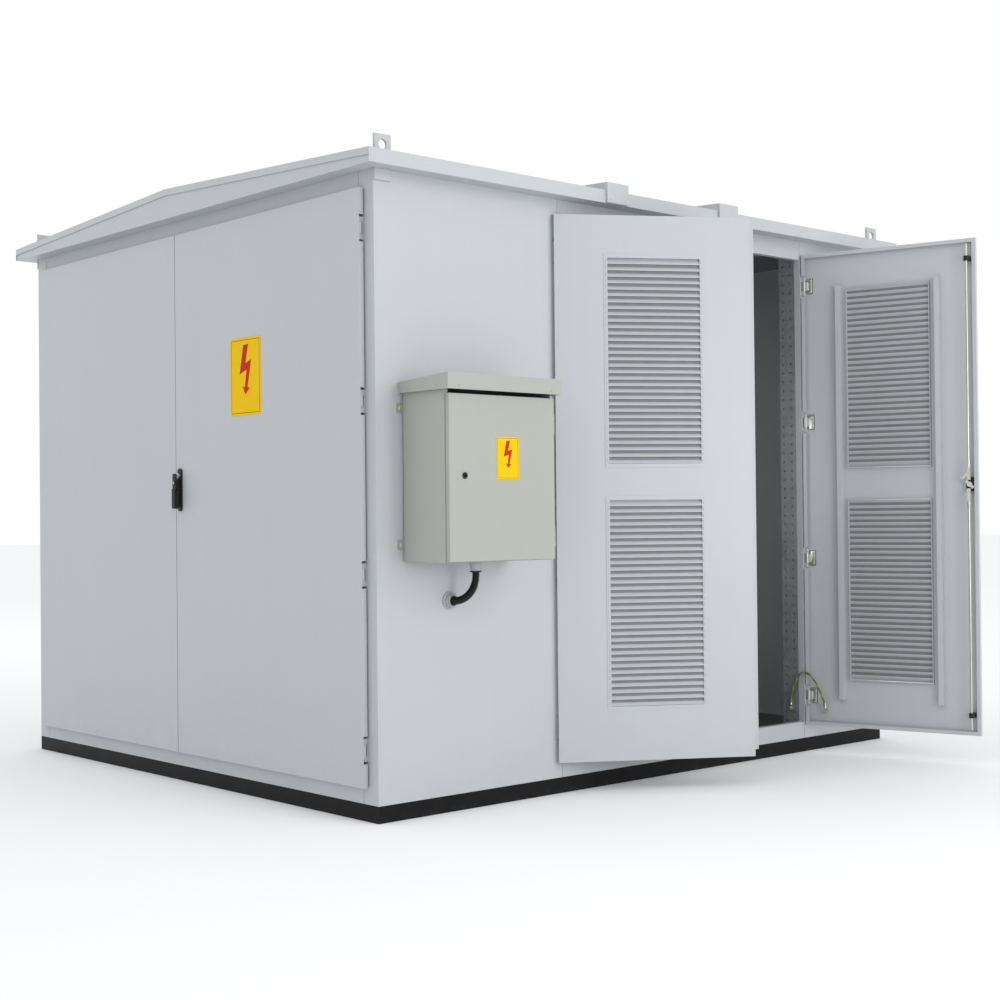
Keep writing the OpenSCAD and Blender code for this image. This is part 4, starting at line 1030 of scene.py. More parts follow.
class KIOSK_OT_conduit(bpy.types.Operator):
    """Runs the ribbed conduit from the meter box's gland to the gland in the wall"""

    bl_idname = "kiosk.conduit"
    bl_label = "Conduit"

    def execute(self, context):
        low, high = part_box("box_gland")
        start = Vector(((low.x + high.x) / 2, (low.y + high.y) / 2, low.z + 0.006))
        gland_foot = start - Z * 0.006
        wlow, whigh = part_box("wall_gland")
        end = Vector(((wlow.x + whigh.x) / 2, whigh.y - 0.0157, (wlow.z + whigh.z) / 2))
        run = Vector((end.x - start.x, end.y - start.y, 0))
        reach = run.length
        run.normalize()
        bend = 0.092
        points = [start + Z * 0.030, start + Z * 0.012]
        centre = Vector((start.x, start.y, end.z + bend)) + run * bend
        points += [
            centre - run * (bend * math.cos(a)) - Z * (bend * math.sin(a))
            for a in [math.radians(5 * k) for k in range(19)]
        ]
        points.append(Vector((start.x, start.y, end.z)) + run * (reach + 0.006))
        chain = [(i, i + 1) for i in range(len(points) - 1)]
        grow(
            "ribbed_conduit", hose_tree(), [(p, Z) for p in points], "housing", "conduit_plastic",
            "conduit_plastic", chain, smooth=60.0, replaces=("conduit",),
            Rib_pitch=context.scene.kiosk_sizes.rib_pitch,
        )
        seal = [
            (0, -0.001), (0.0195, -0.001), (0.0205, 0.0), (0.0205, 0.0035), (0.0150, 0.0045),
            (0, 0.0045),
        ]
        p = Piece("gland_seals")
        p.lathe(seal, gland_foot - Z * 0.0035, Z, "seal_rubber")
        mouth = Vector((end.x, wlow.y + 0.004, end.z))
        collar = [(0, 0.0), (0.0168, 0.0), (0.0178, 0.001), (0.0178, 0.009), (0, 0.009)]
        p.lathe(collar, mouth, Y, "seal_rubber")
        p.finish("housing", "black_plastic")
        return {"FINISHED"}


class KIOSK_OT_earth_lead(bpy.types.Operator):
    """Hangs the green and yellow earth lead between the jamb post and the right louvred leaf"""

    bl_idname = "kiosk.earth_lead"
    bl_label = "Earth lead"

    def execute(self, context):
        hinge = Vector(JOINTS["front_right_door_swing"]["pos_m"])
        low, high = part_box("front_earth_lead")
        a = Vector((hinge.x - 0.0195, hinge.y + 0.085, low.z + 0.006))
        b = Vector((hinge.x + 0.008, hinge.y - 0.082, low.z + 0.001))
        rise = high.z - 0.0045 - (a.z + b.z) / 2
        steps = 40
        points = []
        for i in range(steps + 1):
            u = i / steps
            arch = math.sin(math.pi * u) ** 0.65
            points.append(a.lerp(b, u) + Vector((-0.020 * arch, 0, rise * arch)))
        p = Piece("door_earth_lead")
        p.tube(points, 0.0043, "earth_lead", 16, 0.045)
        lead = p.finish("housing", "earth_lead", ("front_earth_lead",), ride=False, angle=60)
        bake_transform(lead)

        def lug(name, at, out, body):
            q = Piece(name)
            q.rod(at + Z * 0.022, -Z, 0.0056, 0.024, "zinc", 24, 0.0008)
            side = Z.cross(out).normalized()
            foot = at - Z * 0.003
            q.slab(
                [
                    (-0.008, -0.022), (0.008, -0.022), (0.009, -0.010), (0.0055, 0.004),
                    (-0.0055, 0.004), (-0.009, -0.010),
                ],
                foot + out * -0.0015, side, Z, 0.003, "zinc", 0.0006,
            )
            bolt = foot - Z * 0.014
            q.rod(bolt - out * 0.020, out, 0.004, 0.034, "zinc", 20, 0.0008)
            q.rod(bolt + out * 0.0018, out, 0.0090, 0.0016, "zinc", 28, 0.0003)
            q.rod(bolt + out * 0.0032, out, 0.0078, 0.0060, "zinc", 6, 0.0008)
            q.rod(bolt - out * 0.0200, out, 0.0078, 0.0060, "zinc", 6, 0.0008)
            q.finish(body, "zinc")

        lug("post_earth_lug", a, Vector((-1, 0, 0)), "housing")
        inward = (LEAF["front_right_door"].to_3x3() @ Y).normalized()
        lug("leaf_earth_lug", b, inward, "front_right_door")
        return {"FINISHED"}


class KIOSK_OT_louvre_tabs(bpy.types.Operator):
    """Presses the rows of small tabs along both sides of every louvre panel"""

    bl_idname = "kiosk.louvre_tabs"
    bl_label = "Louvre tabs"

    def execute(self, context):
        size = context.scene.kiosk_sizes
        tree = tab_tree()
        count, tall = size.tab_count, size.louvre_height
        pitch = (tall - 0.030) / count

        def rows(low, high, outside, inside):
            points = []
            for foot in (low.z, high.z - tall):
                for i in range(count):
                    z = foot + 0.015 + (i + 0.5) * pitch
                    for x in (low.x + 0.0085, high.x - 0.0085):
                        points.append(((x, low.y - 0.0002, z), outside))
                    for x in (low.x + 0.0140, high.x - 0.0140):
                        points.append(((x, high.y, z), inside))
            return points

        for node, body in (
            ("front_left_louvres", "front_left_door"),
            ("front_right_louvres", "front_right_door"),
        ):
            place = LEAF[body]
            low, high = local_box(node, place)
            grow(
                body + "_tabs", tree, moved(place, rows(low, high, -Y, Y)), body, "grey_paint",
                "grey_paint", along=tuple(Z), Length=0.011, Width=0.0032, Height=0.0014,
            )
        low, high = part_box("rear_louvres")
        wide = size.louvre_width
        points = []
        for left in (low.x, high.x - wide):
            a, b = Vector((left, high.y, low.z)), Vector((left + wide, low.y, high.z))
            points += [((p[0], p[1] + 0.0004 * n.y, p[2]), n) for p, n in rows(a, b, Y, -Y)]
        grow(
            "rear_vent_tabs", tree, points, "housing", "grey_paint", "grey_paint",
            along=tuple(Z), Length=0.011, Width=0.0032, Height=0.0014,
        )
        return {"FINISHED"}


class KIOSK_OT_louvre_lips(bpy.types.Operator):
    """Folds a lip along both edges of every louvre slat and sets the insect mesh between the slats, an opaque
    dark-grey sheet whose darkness is partly painted shade of the gaps
    """

    bl_idname = "kiosk.louvre_lips"
    bl_label = "Louvre lips"

    def execute(self, context):
        size = context.scene.kiosk_sizes
        tree = tab_tree()
        count, tall = size.tab_count, size.louvre_height
        pitch = (tall - 0.030) / count
        long = size.louvre_width - 0.031

        def edges(middle, low, high, outside, inside, screen):
            """The outer and inner edge of each slat, and the middle of the gap above it."""
            outer, inner, gaps = [], [], []
            for foot in (low.z, high.z - tall):
                for i in range(count):
                    z = foot + 0.015 + (i + 0.5) * pitch
                    outer.append(((middle, outside[0], z - 0.0093), outside[1]))
                    inner.append(((middle, inside[0], z + 0.0103), inside[1]))
                    if i < count - 1:
                        gaps.append(((middle, screen, z + 0.0130), outside[1]))
            return outer, inner, gaps

        for node, body in (
            ("front_left_louvres", "front_left_door"),
            ("front_right_louvres", "front_right_door"),
        ):
            place = LEAF[body]
            low, high = local_box(node, place)
            lay = tuple(place.to_3x3() @ X)
            outer, inner, gaps = edges(
                (low.x + high.x) / 2, low, high, (low.y + 0.0010, -Y), (low.y + 0.0140, Y),
                low.y + 0.0070,
            )
            # opaque dark sheets in the slat gaps: the insect mesh, its dark grey partly painted shade
            grow(
                body + "_insect_mesh", tree, moved(place, gaps), body, "zinc", "insect_mesh",
                along=lay, Length=long, Width=0.0215, Height=0.0005,
            )
            grow(
                body + "_outer_lips", tree, moved(place, outer), body, "grey_paint", "grey_paint",
                along=lay, Length=long, Width=0.0036, Height=0.0008,
            )
            grow(
                body + "_inner_lips", tree, moved(place, inner), body, "grey_paint", "grey_paint",
                along=lay, Length=long, Width=0.0024, Height=0.0008,
            )
        low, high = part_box("rear_louvres")
        outer, inner, gaps = [], [], []
        for left in (low.x, high.x - size.louvre_width):
            more = edges(
                left + size.louvre_width / 2, low, high, (high.y - 0.0010, Y),
                (high.y - 0.0140, -Y), high.y - 0.0070,
            )
            outer += more[0]
            inner += more[1]
            gaps += more[2]
        # opaque dark sheets in the slat gaps: the insect mesh, its dark grey partly painted shade
        grow(
            "rear_insect_mesh", tree, gaps, "housing", "zinc", "insect_mesh",
            along=tuple(X), Length=long, Width=0.0215, Height=0.0005,
        )
        grow(
            "rear_outer_lips", tree, outer, "housing", "grey_paint", "grey_paint",
            along=tuple(X), Length=long, Width=0.0036, Height=0.0008,
        )
        grow(
            "rear_inner_lips", tree, inner, "housing", "grey_paint", "grey_paint",
            along=tuple(X), Length=long, Width=0.0024, Height=0.0008,
        )
        return {"FINISHED"}


class KIOSK_OT_hinge_wings(bpy.types.Operator):
    """Adds the screwed wing and black base of each concealed hinge to its leaf"""

    bl_idname = "kiosk.hinge_wings"
    bl_label = "Hinge wings"

    def execute(self, context):
        levels = hinge_levels()
        heads = {}
        for body, place in LEAF.items():
            p = Piece(body + "_hinge_wings", place)
            gable = body.startswith("gable")
            pin, wing = ("grey_paint", "grey_paint") if gable else ("zinc", "zinc")
            for z in levels:
                p.box((0.0130, -0.0079, z - 0.0335), (0.0380, -0.0045, z + 0.0335), "black_plastic", 0.0012)
                p.box((0.0150, -0.0046, z - 0.032), (0.0365, 0.0006, z + 0.032), wing, 0.0020, 3)
                p.box((0.0100, -0.0070, z - 0.0185), (0.0200, 0.0058, z + 0.0185), wing, 0.0022, 3)
                p.rod((0.0, 0.0, z - 0.0195), Z, 0.0078, 0.039, pin, 32, 0.0012)
                heads.setdefault(body, []).extend(
                    ((0.0290, 0.0006, z + dz), Y) for dz in (-0.022, 0.022)
                )
            p.finish(body, "zinc")
        tree = fastener_tree()
        for body, points in heads.items():
            grow(
                body + "_hinge_screws", tree, moved(LEAF[body], points), body, "zinc", "zinc",
                Head_radius=0.0042, Head_height=0.0020, Washer_radius=0.0050, Sides=12,
            )
        return {"FINISHED"}


def hinge_levels():
    """Heights of the four hinges above a leaf's foot, from the brackets' own mesh."""
    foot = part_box("gable_right_leaf")[0].z
    found = sorted({round(v.co.z, 3) for v in frame["nodes"]["hinge_brackets"].data.vertices})
    groups = []
    for z in found:
        if not groups or z - groups[-1][-1] > 0.2:
            groups.append([z])
        else:
            groups[-1].append(z)
    return [(g[0] + g[-1]) / 2 - foot for g in groups]


class KIOSK_OT_lock_links(bpy.types.Operator):
    """Adds the bent zinc links and spring clips that join the front rods to their lock"""

    bl_idname = "kiosk.lock_links"
    bl_label = "Lock links"

    def execute(self, context):
        place = LEAF["front_right_door"]
        for name, node, body, way in (
            ("upper_rod_link", "front_upper_rod", "front_rod_up", 1),
            ("lower_rod_link", "front_lower_rod", "front_rod_down", -1),
        ):
            low, high = local_box(node, place)
            x, y = (low.x + high.x) / 2, (low.y + high.y) / 2
            near = low.z if way > 0 else high.z
            p = Piece(name, place)
            bend = [
                (-0.008, 0.0), (0.008, 0.0), (0.009, 0.030), (0.005, 0.062), (-0.004, 0.062),
                (-0.006, 0.034),
            ]
            if way < 0:
                bend = [(u, -v) for u, v in bend][::-1]
            p.slab(bend[::-1], (x, y + 0.0032, near + way * 0.002), X, Z, -0.0028, "zinc", 0.0006)
            if way > 0:
                p.slab(
                    [(-0.030, -0.004), (-0.024, -0.012), (0.006, 0.018), (0.002, 0.028)],
                    (x, y + 0.0062, near + 0.012), X, Z, -0.0028, "zinc", 0.0006,
                )
            p.rod((x, y + 0.002, near + way * 0.012), Y, 0.0038, 0.008, "zinc", 24, 0.0006)
            p.rod((x, y, near + way * 0.052), Z * way, 0.0072, 0.014, "zinc", 28, 0.0010)
            for k in range(5):
                p.rod((x, y, near + way * (0.068 + 0.003 * k)), Z * way, 0.0064, 0.0016, "zinc", 24, 0.0004)
            p.finish(body, "zinc")
        return {"FINISHED"}


class KIOSK_OT_screws(bpy.types.Operator):
    """Sets the screws, rivets and bolt heads of the kiosk's sheets, floor and roof"""

    bl_idname = "kiosk.screws"
    bl_label = "Screws and rivets"

    def execute(self, context):
        size = context.scene.kiosk_sizes
        tree = fastener_tree()
        low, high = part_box("roof_seam_caps")
        caps = sorted({round(v.co.x, 3) for v in frame["nodes"]["roof_seam_caps"].data.vertices})
        half = len(caps) // 2
        rivets = []
        for a, b in ((caps[0], caps[half - 1]), (caps[half], caps[-1])):
            for x in (a + 0.018, b - 0.018):
                rivets.append(((x, low.y, low.z + 0.014), (0, -1, 0)))
        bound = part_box("roof_fascia")
        for x in [bound[0].x + 0.2 + i * 0.285 for i in range(10)]:
            for y in (bound[0].y + 0.030, bound[1].y - 0.030):
                rivets.append(((x, y, bound[0].z), (0, 0, -1)))
        grow(
            "roof_rivets", tree, rivets, "housing", "grey_paint", "grey_paint",
            Head_radius=0.0040, Head_height=0.0016, Washer_radius=0.0046, Sides=16,
        )
        floor_low, floor_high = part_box("floor_plates")
        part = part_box("partition_wall")
        studs = []
        for x0, x1 in ((floor_low.x + 0.13, part[0].x - 0.03), (part[1].x + 0.03, floor_high.x - 0.13)):
            for i in range(6):
                x = x0 + (x1 - x0) * i / 5
                for y in (floor_low.y + 0.14, floor_high.y - 0.03):
                    studs.append(((x, y, floor_high.z), (0, 0, 1)))
        plate = [
            ((part[0].x, part[0].y + 0.10 + i * 0.23, part[0].z + dz), (-1, 0, 0))
            for i in range(10) for dz in (0.03, 2.08)
        ]
        grow(
            "floor_and_partition_bolts", tree, studs + plate, "housing", "zinc", "zinc",
            Head_radius=size.bolt_radius, Head_height=0.005, Washer_radius=0.011,
        )
        for node, body in (
            ("front_left_rails", "front_left_door"), ("front_right_rails", "front_right_door"),
        ):
            place = LEAF[body]
            low, high = local_box(node, place)
            spots = []
            count = 14
            for i in range(count):
                z = low.z + 0.05 + (high.z - low.z - 0.1) * i / (count - 1)
                for x in (low.x + 0.0036, low.x + 0.0314, high.x - 0.0036, high.x - 0.0314):
                    spots.append(((x, low.y + 0.0014, z), Y))
            grow(
                body + "_rail_welds", tree, moved(place, spots), body, "grey_paint", "grey_paint",
                Head_radius=0.0020, Head_height=0.0005, Washer_radius=0.0024, Sides=14,
            )
        low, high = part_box("box_hood")
        hood = [
            ((x, low.y, low.z + 0.012), (0, -1, 0)) for x in (low.x + 0.05, high.x - 0.05)
        ] + [
            ((x, y, low.z + 0.014), (way, 0, 0))
            for x, way in ((low.x, -1), (high.x, 1)) for y in (low.y + 0.06, high.y - 0.05)
        ]
        grow(
            "hood_rivets", tree, hood, "housing", "pebble_paint", "pebble_paint",
            Head_radius=0.0034, Head_height=0.0014, Washer_radius=0.0040, Sides=16,
        )
        return {"FINISHED"}


class KIOSK_OT_meter_box(bpy.types.Operator):
    """Fits out the meter box: register window, terminal screws, switch toggles and wiring"""

    bl_idname = "kiosk.meter_box"
    bl_label = "Meter box contents"

    def execute(self, context):
        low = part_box("energy_meter")[0]
        p = Piece("meter_front")
        p.box(
            (low.x + 0.031, low.y + 0.0004, low.z + 0.161), (low.x + 0.139, low.y + 0.0018, low.z + 0.199),
            "meter_glass", 0.0004,
        )
        for i in range(6):
            x = low.x + 0.040 + i * 0.0155
            p.box(
                (x, low.y - 0.0002, low.z + 0.170), (x + 0.011, low.y + 0.0006, low.z + 0.190),
                "dial_white", 0.0003,
            )
        p.rod((low.x + 0.085, low.y + 0.0004, low.z + 0.125), -Y, 0.0050, 0.0022, "mimic_red", 24, 0.0006)
        p.box(
            (low.x + 0.020, low.y - 0.0010, low.z + 0.062), (low.x + 0.150, low.y + 0.0006, low.z + 0.104),
            "grey_plastic", 0.0006,
        )
        p.finish("housing", "white_plastic")
        shelf = low.y + 0.012
        screws = [((low.x + 0.022 + i * 0.0155, shelf, low.z + 0.022), (0, -1, 0)) for i in range(9)]
        grow(
            "meter_terminal_screws", fastener_tree(), screws, "housing", "zinc", "zinc",
            Head_radius=0.0034, Head_height=0.0016, Washer_radius=0.0046, Sides=14,
        )
        low_b, high_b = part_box("box_breakers")
        random.seed(11)
        tops = [low_b.x + 0.020 + 0.018 + i * 0.0365 for i in range(8)]
        w = Piece("meter_box_wiring")
        for i, x in enumerate(tops):
            a = Vector((low.x + 0.030 + i * 0.0155, low.y + 0.028, low.z + 0.002))
            b = Vector((x, low.y + 0.024, high_b.z - 0.004))
            sway = random.uniform(-0.006, 0.006)
            steps = [
                a.lerp(b, k / 12) + Vector(
                    (sway * math.sin(math.pi * k / 12), -0.010 * math.sin(math.pi * k / 12), 0),
                )
                for k in range(13)
            ]
            for k in range(1, 12):
                u = k / 12
                ease = u * u * (3 - 2 * u)
                steps[k].x = a.x + (b.x - a.x) * ease + sway * math.sin(math.pi * u)
            w.tube(steps, 0.0023, ("cable_red", "cable_grey", "black_plastic")[i % 3], 10)
        gland_low, gland_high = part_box("box_gland")
        mouth = Vector(((gland_low.x + gland_high.x) / 2, (gland_low.y + gland_high.y) / 2, gland_high.z))
        for i in range(8):
            a = Vector((low_b.x + 0.034 + i * 0.036, low_b.y + 0.050, low_b.z + 0.002))
            spread = Vector((0.006 * math.cos(i * 0.8), 0.006 * math.sin(i * 0.8), 0))
            b = mouth + spread - Z * 0.010
            c = Vector((a.x, a.y, a.z - 0.030))
            d = b + Z * 0.040
            path = []
            for k in range(15):
                u = k / 14
                path.append(
                    a * (1 - u) ** 3 + c * 3 * u * (1 - u) ** 2 + d * 3 * u * u * (1 - u) + b * u ** 3
                )
            w.tube(path, 0.0023, ("cable_red", "cable_grey", "black_plastic", "conduit_plastic")[i % 4], 10)
        w.finish("housing", "black_plastic", angle=60)
        t = Piece("breaker_toggles")
        for i in range(8):
            x = low_b.x + 0.020 + i * 0.0365
            t.box(
                (x + 0.004, low_b.y + 0.0176, high_b.z - 0.024),
                (x + 0.0315, low_b.y + 0.0186, high_b.z - 0.012), "grey_plastic", 0.0003,
            )
            t.box(
                (x + 0.0115, low_b.y - 0.0008, high_b.z - 0.0586),
                (x + 0.0245, low_b.y + 0.010, high_b.z - 0.0374), "black_plastic", 0.0012,
            )
        t.finish("housing", "white_plastic")
        return {"FINISHED"}


class KIOSK_OT_switchgear(bpy.types.Operator):
    """Fits out the fronts of the ring main unit and the low-voltage switchboard"""

    bl_idname = "kiosk.switchgear"
    bl_label = "Switchgear fronts"

    def execute(self, context):
        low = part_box("ring_main_unit")[0]
        face = low.x + 0.012
        p = Piece("ring_main_front")
        screws = []
        for i in range(3):
            y = low.y + 0.154 + i * 0.296
            knob = JOINTS["ring_main_switch_turn"]["pos_m"][2]
            p.box(
                (face - 0.0012, y - 0.004, knob + 0.060), (face + 0.0004, y + 0.004, knob + 0.330),
                "black_plastic", 0.0003,
            )
            p.box(
                (face - 0.0012, y - 0.004, knob - 0.300), (face + 0.0004, y + 0.004, knob - 0.060),
                "black_plastic", 0.0003,
            )
            p.box(
                (face - 0.0050, y - 0.034, knob + 0.150), (face + 0.0004, y + 0.034, knob + 0.190),
                "black_plastic", 0.0020,
            )
            p.box(
                (face - 0.0056, y - 0.028, knob + 0.156), (face - 0.0046, y + 0.028, knob + 0.184),
                "meter_glass", 0.0003,
            )
            for k in range(3):
                p.rod(
                    (face + 0.0004, y - 0.030 + k * 0.030, knob + 0.250), -X, 0.0085, 0.006,
                    "grey_plastic", 24, 0.0010,
                )
                p.rod(
                    (face - 0.0050, y - 0.030 + k * 0.030, knob + 0.250), -X, 0.0050, 0.003,
                    "mimic_red", 20, 0.0008,
                )
            cover = low.x + 0.008
            for s in (-1, 1):
                p.tube(
                    [
                        (cover + 0.001, y + s * 0.060 - 0.030, low.z + 0.300),
                        (cover - 0.014, y + s * 0.060 - 0.030, low.z + 0.300),
                        (cover - 0.020, y + s * 0.060 - 0.024, low.z + 0.300),
                        (cover - 0.020, y + s * 0.060 + 0.024, low.z + 0.300),
                        (cover - 0.014, y + s * 0.060 + 0.030, low.z + 0.300),
                        (cover + 0.001, y + s * 0.060 + 0.030, low.z + 0.300),
                    ],
                    0.0042, "black_plastic", 12,
                )
            for dy in (-0.128, 0.128):
                for z in (low.z + 0.055, low.z + 0.290, low.z + 0.525):
                    screws.append(((cover, y + dy, z), (-1, 0, 0)))
                for z in (low.z + 0.575, low.z + 0.950, low.z + 1.315):
                    screws.append(((face, y + dy, z), (-1, 0, 0)))
        gauge = (face + 0.0002, low.y + 0.154 + 0.296, low.z + 1.245)
        p.lathe(
            [
                (0, 0), (0.036, 0), (0.038, 0.004), (0.038, 0.016), (0.034, 0.018), (0.033, 0.014),
                (0, 0.014),
            ],
            gauge, -X, "black_plastic",
        )
        p.lathe([(0, 0.0139), (0.0325, 0.0139), (0.0325, 0.0146), (0, 0.0146)], gauge, -X, "dial_white")
        needle = Vector(gauge) - X * 0.0148
        p.box(
            (needle.x - 0.0006, needle.y - 0.0012, needle.z - 0.006),
            (needle.x, needle.y + 0.0012, needle.z + 0.026), "mimic_red",
        )
        p.finish("housing", "gear_paint")

        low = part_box("lv_switchboard")[0]
        front = low.x + 0.012
        q = Piece("switchboard_front")
        for i in range(10):
            y = low.y + 0.040 + i * 0.116
            for z in (0.420, 0.620, 0.880):
                q.box(
                    (front - 0.0014, y + 0.022, low.z + z),
                    (front + 0.0004, y + 0.078, low.z + z + 0.060), "grey_plastic", 0.0005,
                )
                q.box(
                    (front - 0.0020, y + 0.030, low.z + z + 0.010),
                    (front - 0.0010, y + 0.070, low.z + z + 0.050), "meter_glass", 0.0003,
                )
            q.box(
                (front - 0.0030, y + 0.014, low.z + 0.770), (front + 0.0004, y + 0.020, low.z + 0.860),
                "black_plastic", 0.0008,
            )
            q.box(
                (front - 0.0030, y + 0.080, low.z + 0.770), (front + 0.0004, y + 0.086, low.z + 0.860),
                "black_plastic", 0.0008,
            )
            for dy in (0.010, 0.090):
                for z in (0.372, 0.985):
                    screws.append(((front, y + dy, low.z + z), (-1, 0, 0)))
        for i in range(3):
            y = low.y + 0.570 + 0.072 + i * 0.200
            z = low.z + 1.396 + 0.072
            x = low.x + 0.060
            q.box(
                (x - 0.0030, y - 0.066, z - 0.066), (x + 0.0004, y + 0.066, z + 0.066), "black_plastic",
                0.0014,
            )
            q.box(
                (x - 0.0036, y - 0.056, z - 0.056), (x - 0.0026, y + 0.056, z + 0.056), "dial_white",
                0.0004,
            )
            for k in range(9):
                a = math.radians(-10 + k * 12.5)
                c = Vector((x - 0.0040, y - 0.040 + 0.086 * math.sin(a), z - 0.044 + 0.086 * math.cos(a)))
                q.box(c - Vector((0, 0.0012, 0.004)), c + Vector((0.0006, 0.0012, 0.004)), "black_plastic")
            a = math.radians(20 + 14 * i)
            tip = Vector((0, 0.078 * math.sin(a), 0.078 * math.cos(a)))
            root = Vector((x - 0.0042, y - 0.040, z - 0.044))
            q.slab(
                [(-0.0012, 0), (0.0012, 0), (0.0004, 0.078), (-0.0004, 0.078)], root, -X.cross(tip),
                tip, 0.0006, "mimic_red",
            )
            q.rod((x + 0.012, y, z + 0.130), -X, 0.0150, 0.006, "zinc", 32, 0.0012)
            q.lathe(
                [(0, 0), (0.011, 0), (0.011, 0.006), (0.008, 0.011), (0.004, 0.0135), (0, 0.0142)],
                (x + 0.007, y, z + 0.130), -X, ("mimic_red", "lamp_green", "plate_yellow")[i],
            )
        knob = Vector(JOINTS["main_switch_turn"]["pos_m"])
        panel = low.x + 0.032
        for a in range(0, 360, 30):
            r = math.radians(a)
            c = Vector((panel - 0.0006, knob.y + 0.070 * math.sin(r), knob.z + 0.070 * math.cos(r)))
            q.box(
                c - Vector((0.0006, 0.002, 0.002)), c + Vector((0.0008, 0.002, 0.002)), "black_plastic",
                0.0004,
            )
        for dy in (-0.195, 0.195):
            for z in (1.125, 1.400, 1.630):
                screws.append(((panel, knob.y + dy + 0.020, low.z + z), (-1, 0, 0)))
        q.finish("housing", "gear_paint")
        grow(
            "switchgear_screws", fastener_tree(), screws, "housing", "zinc", "zinc",
            Head_radius=0.0050, Head_height=0.0028, Washer_radius=0.0072,
        )
        return {"FINISHED"}


class KIOSK_OT_transformer(bpy.types.Operator):
    """Adds the transformer's cable boots, bar bolts and dial"""

    bl_idname = "kiosk.transformer"
    bl_label = "Transformer fittings"

    def execute(self, context):
        low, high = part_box("hv_bushings")
        n = 3
        centre = (low.y + high.y) / 2
        p = Piece("transformer_fittings")
        first, last = low.x + 0.048, high.x - 0.048
        for i in range(n):
            x = first + (last - first) * i / (n - 1)
            p.lathe(
                [
                    (0, -0.004), (0.020, -0.004), (0.027, 0.010), (0.025, 0.020), (0.029, 0.030),
                    (0.025, 0.042), (0.022, 0.075), (0.018, 0.080), (0, 0.080),
                ],
                (x, centre, high.z - 0.052), Z, "cable_red",
            )
        bars_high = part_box("lv_busbars")[1]
        lv_low, lv_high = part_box("lv_bushings")
        for i in range(4):
            x = lv_low.x + 0.040 + (lv_high.x - lv_low.x - 0.080) * i / 3
            y = (lv_low.y + lv_high.y) / 2
            p.rod((x, y, bars_high.z - 0.0004), Z, 0.017, 0.0026, "zinc", 32, 0.0005)
            p.rod((x, y, bars_high.z + 0.0020), Z, 0.0150, 0.0110, "zinc", 6, 0.0012)
        tank_low, tank_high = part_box("transformer_tank")
        lid_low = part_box("transformer_lid")[0]
        side = (tank_low.x + tank_high.x) / 2
        dial = Vector((side + 0.30, lid_low.y + 0.075, lid_low.z + 0.010))
        p.rod(dial, Z, 0.012, 0.060, "zinc", 24, 0.001)
        p.lathe(
            [
                (0, 0), (0.040, 0), (0.042, 0.004), (0.042, 0.022), (0.037, 0.025), (0.036, 0.020),
                (0, 0.020),
            ],
            dial + Z * 0.095 + Y * 0.012, -Y, "black_plastic",
        )
        p.lathe(
            [(0, 0.0195), (0.0355, 0.0195), (0.0355, 0.0204), (0, 0.0204)],
            dial + Z * 0.095 + Y * 0.012, -Y, "dial_white",
        )
        p.box(
            dial + Vector((-0.0012, -0.0092, 0.095)), dial + Vector((0.0012, -0.0084, 0.122)),
            "mimic_red",
        )
        p.finish("housing", "tank_paint")
        return {"FINISHED"}


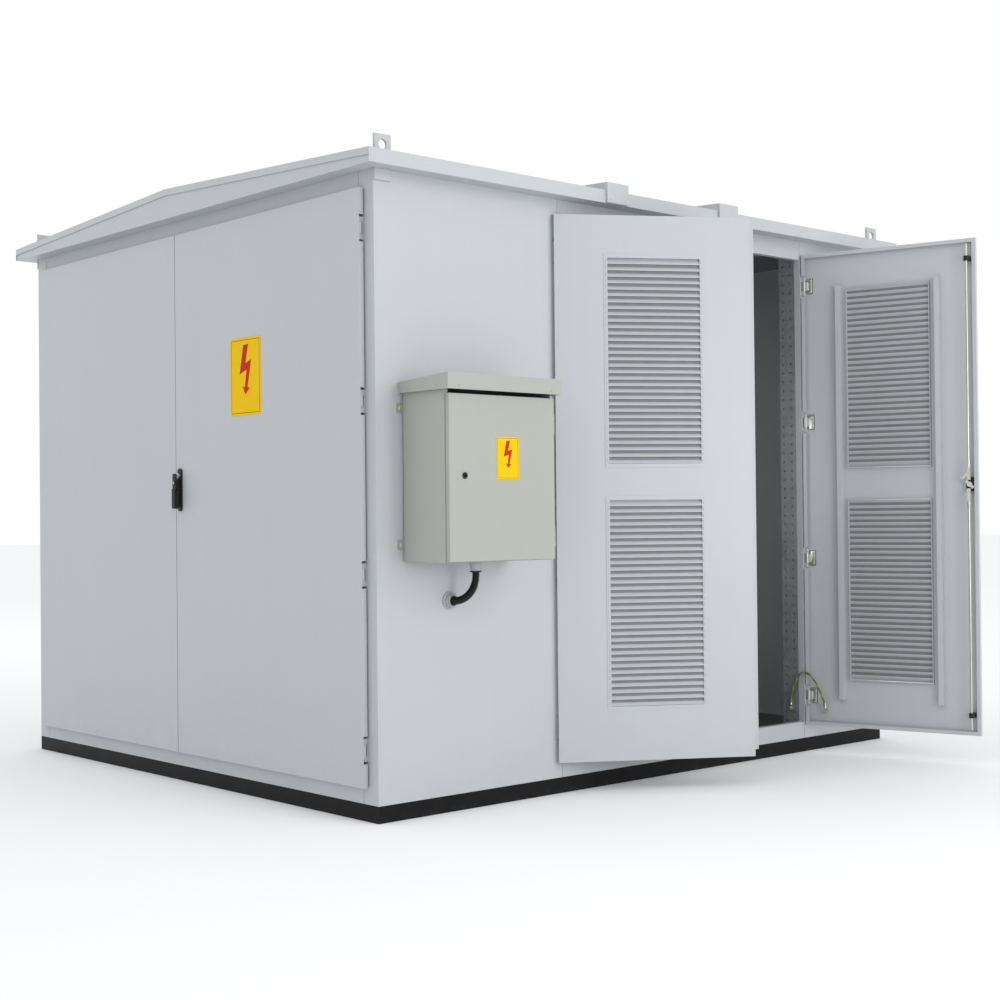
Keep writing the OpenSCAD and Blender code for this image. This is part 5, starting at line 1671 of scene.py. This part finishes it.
class KIOSK_OT_stage(bpy.types.Operator):
    """Sets the pale floor, the soft studio light and the camera"""

    bl_idname = "kiosk.stage"
    bl_label = "Stage"

    def execute(self, context):
        view = context.scene.kiosk_view
        scene = context.scene
        scene.view_settings.view_transform = "Standard"
        pale = Finish("stage_floor", (0.925, 0.925, 0.925), 0.9, Specular_IOR_Level=0.0)
        pale.set("Base Color", pale.shade(pale.noise(0.8, 3.0), 0.985, 1.01))
        mesh = bpy.data.meshes.new("stage_floor")
        r = 60.0
        mesh.from_pydata([(-r, -r, 0), (r, -r, 0), (r, r, 0), (-r, r, 0)], [], [(0, 1, 2, 3)])
        mesh.materials.append(pale.material)
        floor = bpy.data.objects.new("stage_floor", mesh)
        floor.location.z = CAD_LOW.z - 0.0005
        scene.collection.objects.link(floor)

        world = bpy.data.worlds.new("studio")
        scene.world = world
        world.use_nodes = True
        nodes, links = world.node_tree.nodes, world.node_tree.links
        nodes.clear()
        seen = nodes.new("ShaderNodeLightPath")
        mix = nodes.new("ShaderNodeMixShader")
        around = nodes.new("ShaderNodeBackground")
        around.inputs["Strength"].default_value = view.sky
        behind = nodes.new("ShaderNodeBackground")
        behind.inputs["Strength"].default_value = 1.0
        around.inputs["Color"].default_value = (0.97, 0.985, 1.0, 1)
        behind.inputs["Color"].default_value = (1, 1, 1, 1)
        out = nodes.new("ShaderNodeOutputWorld")
        links.new(seen.outputs["Is Camera Ray"], mix.inputs[0])
        links.new(around.outputs[0], mix.inputs[1])
        links.new(behind.outputs[0], mix.inputs[2])
        links.new(mix.outputs[0], out.inputs[0])

        centre = (CAD_LOW + CAD_HIGH) / 2
        for name, place, side, power in (
            ("key", (3.5, -11.0, 6.5), 6.0, view.key_power),
            ("fill", (-2.0, 9.5, 7.0), 6.0, view.key_power * 0.35),
            ("door", (-0.6, -6.5, 1.5), 1.6, view.key_power * 0.27),
            ("room", (-0.45, -0.95, 1.30), 0.5, view.key_power * 0.016),
        ):
            lamp = bpy.data.lights.new(name, "AREA")
            lamp.shape, lamp.size = "SQUARE", side
            lamp.energy = power
            shown = bpy.data.objects.new(name, lamp)
            shown.location = place
            aim = X if name == "room" else centre - Vector(place)
            shown.rotation_euler = aim.to_track_quat("-Z", "Y").to_euler()
            scene.collection.objects.link(shown)

        yaw, pitch, roll = (math.radians(a) for a in (view.heading, view.rise, view.roll))
        ahead = Vector((math.sin(yaw) * math.cos(pitch), math.cos(yaw) * math.cos(pitch), math.sin(pitch)))
        right = Vector((math.cos(yaw), -math.sin(yaw), 0))
        up = right.cross(ahead)
        a = math.cos(roll) * right + math.sin(roll) * up
        b = -math.sin(roll) * right + math.cos(roll) * up
        camera = bpy.data.cameras.new("camera")
        camera.lens, camera.sensor_width = view.lens, 36.0
        camera.clip_end = 200.0
        shown = bpy.data.objects.new("camera", camera)
        turn = Matrix((a, b, -ahead)).transposed().to_4x4()
        shown.matrix_world = Matrix.Translation(view.place) @ turn
        scene.collection.objects.link(shown)
        scene.camera = shown
        return {"FINISHED"}


class KIOSK_PT_panel(bpy.types.Panel):
    """The kiosk's sizes, colours and building steps"""

    bl_idname = "KIOSK_PT_panel"
    bl_label = "Kiosk substation"
    bl_space_type = "VIEW_3D"
    bl_region_type = "UI"
    bl_category = "Kiosk"

    def draw(self, context):
        for group in ("kiosk_colours", "kiosk_sizes", "kiosk_view"):
            held = getattr(context.scene, group)
            box = self.layout.box()
            for key in held.__annotations__:
                box.prop(held, key)
        for step in STEPS:
            self.layout.operator(step.bl_idname)


GROUPS = (
    (KioskColours, "kiosk_colours"),
    (KioskSizes, "kiosk_sizes"),
    (KioskView, "kiosk_view"),
)
STEPS = (
    KIOSK_OT_stage,
    KIOSK_OT_finishes,
    KIOSK_OT_plates,
    KIOSK_OT_handles,
    KIOSK_OT_conduit,
    KIOSK_OT_earth_lead,
    KIOSK_OT_louvre_tabs,
    KIOSK_OT_louvre_lips,
    KIOSK_OT_hinge_wings,
    KIOSK_OT_lock_links,
    KIOSK_OT_screws,
    KIOSK_OT_meter_box,
    KIOSK_OT_switchgear,
    KIOSK_OT_transformer,
)


def register():
    for group, name in GROUPS:
        bpy.utils.register_class(group)
        setattr(bpy.types.Scene, name, PointerProperty(type=group))
    for shown in (*STEPS, KIOSK_PT_panel):
        bpy.utils.register_class(shown)


def unregister():
    for shown in (KIOSK_PT_panel, *reversed(STEPS)):
        bpy.utils.unregister_class(shown)
    for group, name in reversed(GROUPS):
        delattr(bpy.types.Scene, name)
        bpy.utils.unregister_class(group)


def main():
    for stray in ("Cube", "Light", "Camera"):
        if stray in bpy.data.objects:
            bpy.data.objects.remove(bpy.data.objects[stray])
    register()
    for step in STEPS:
        area, name = step.bl_idname.split(".")
        if getattr(getattr(bpy.ops, area), name)() != {"FINISHED"}:
            raise RuntimeError(step.bl_label + " did not finish")


if __name__ == "__main__":
    main()
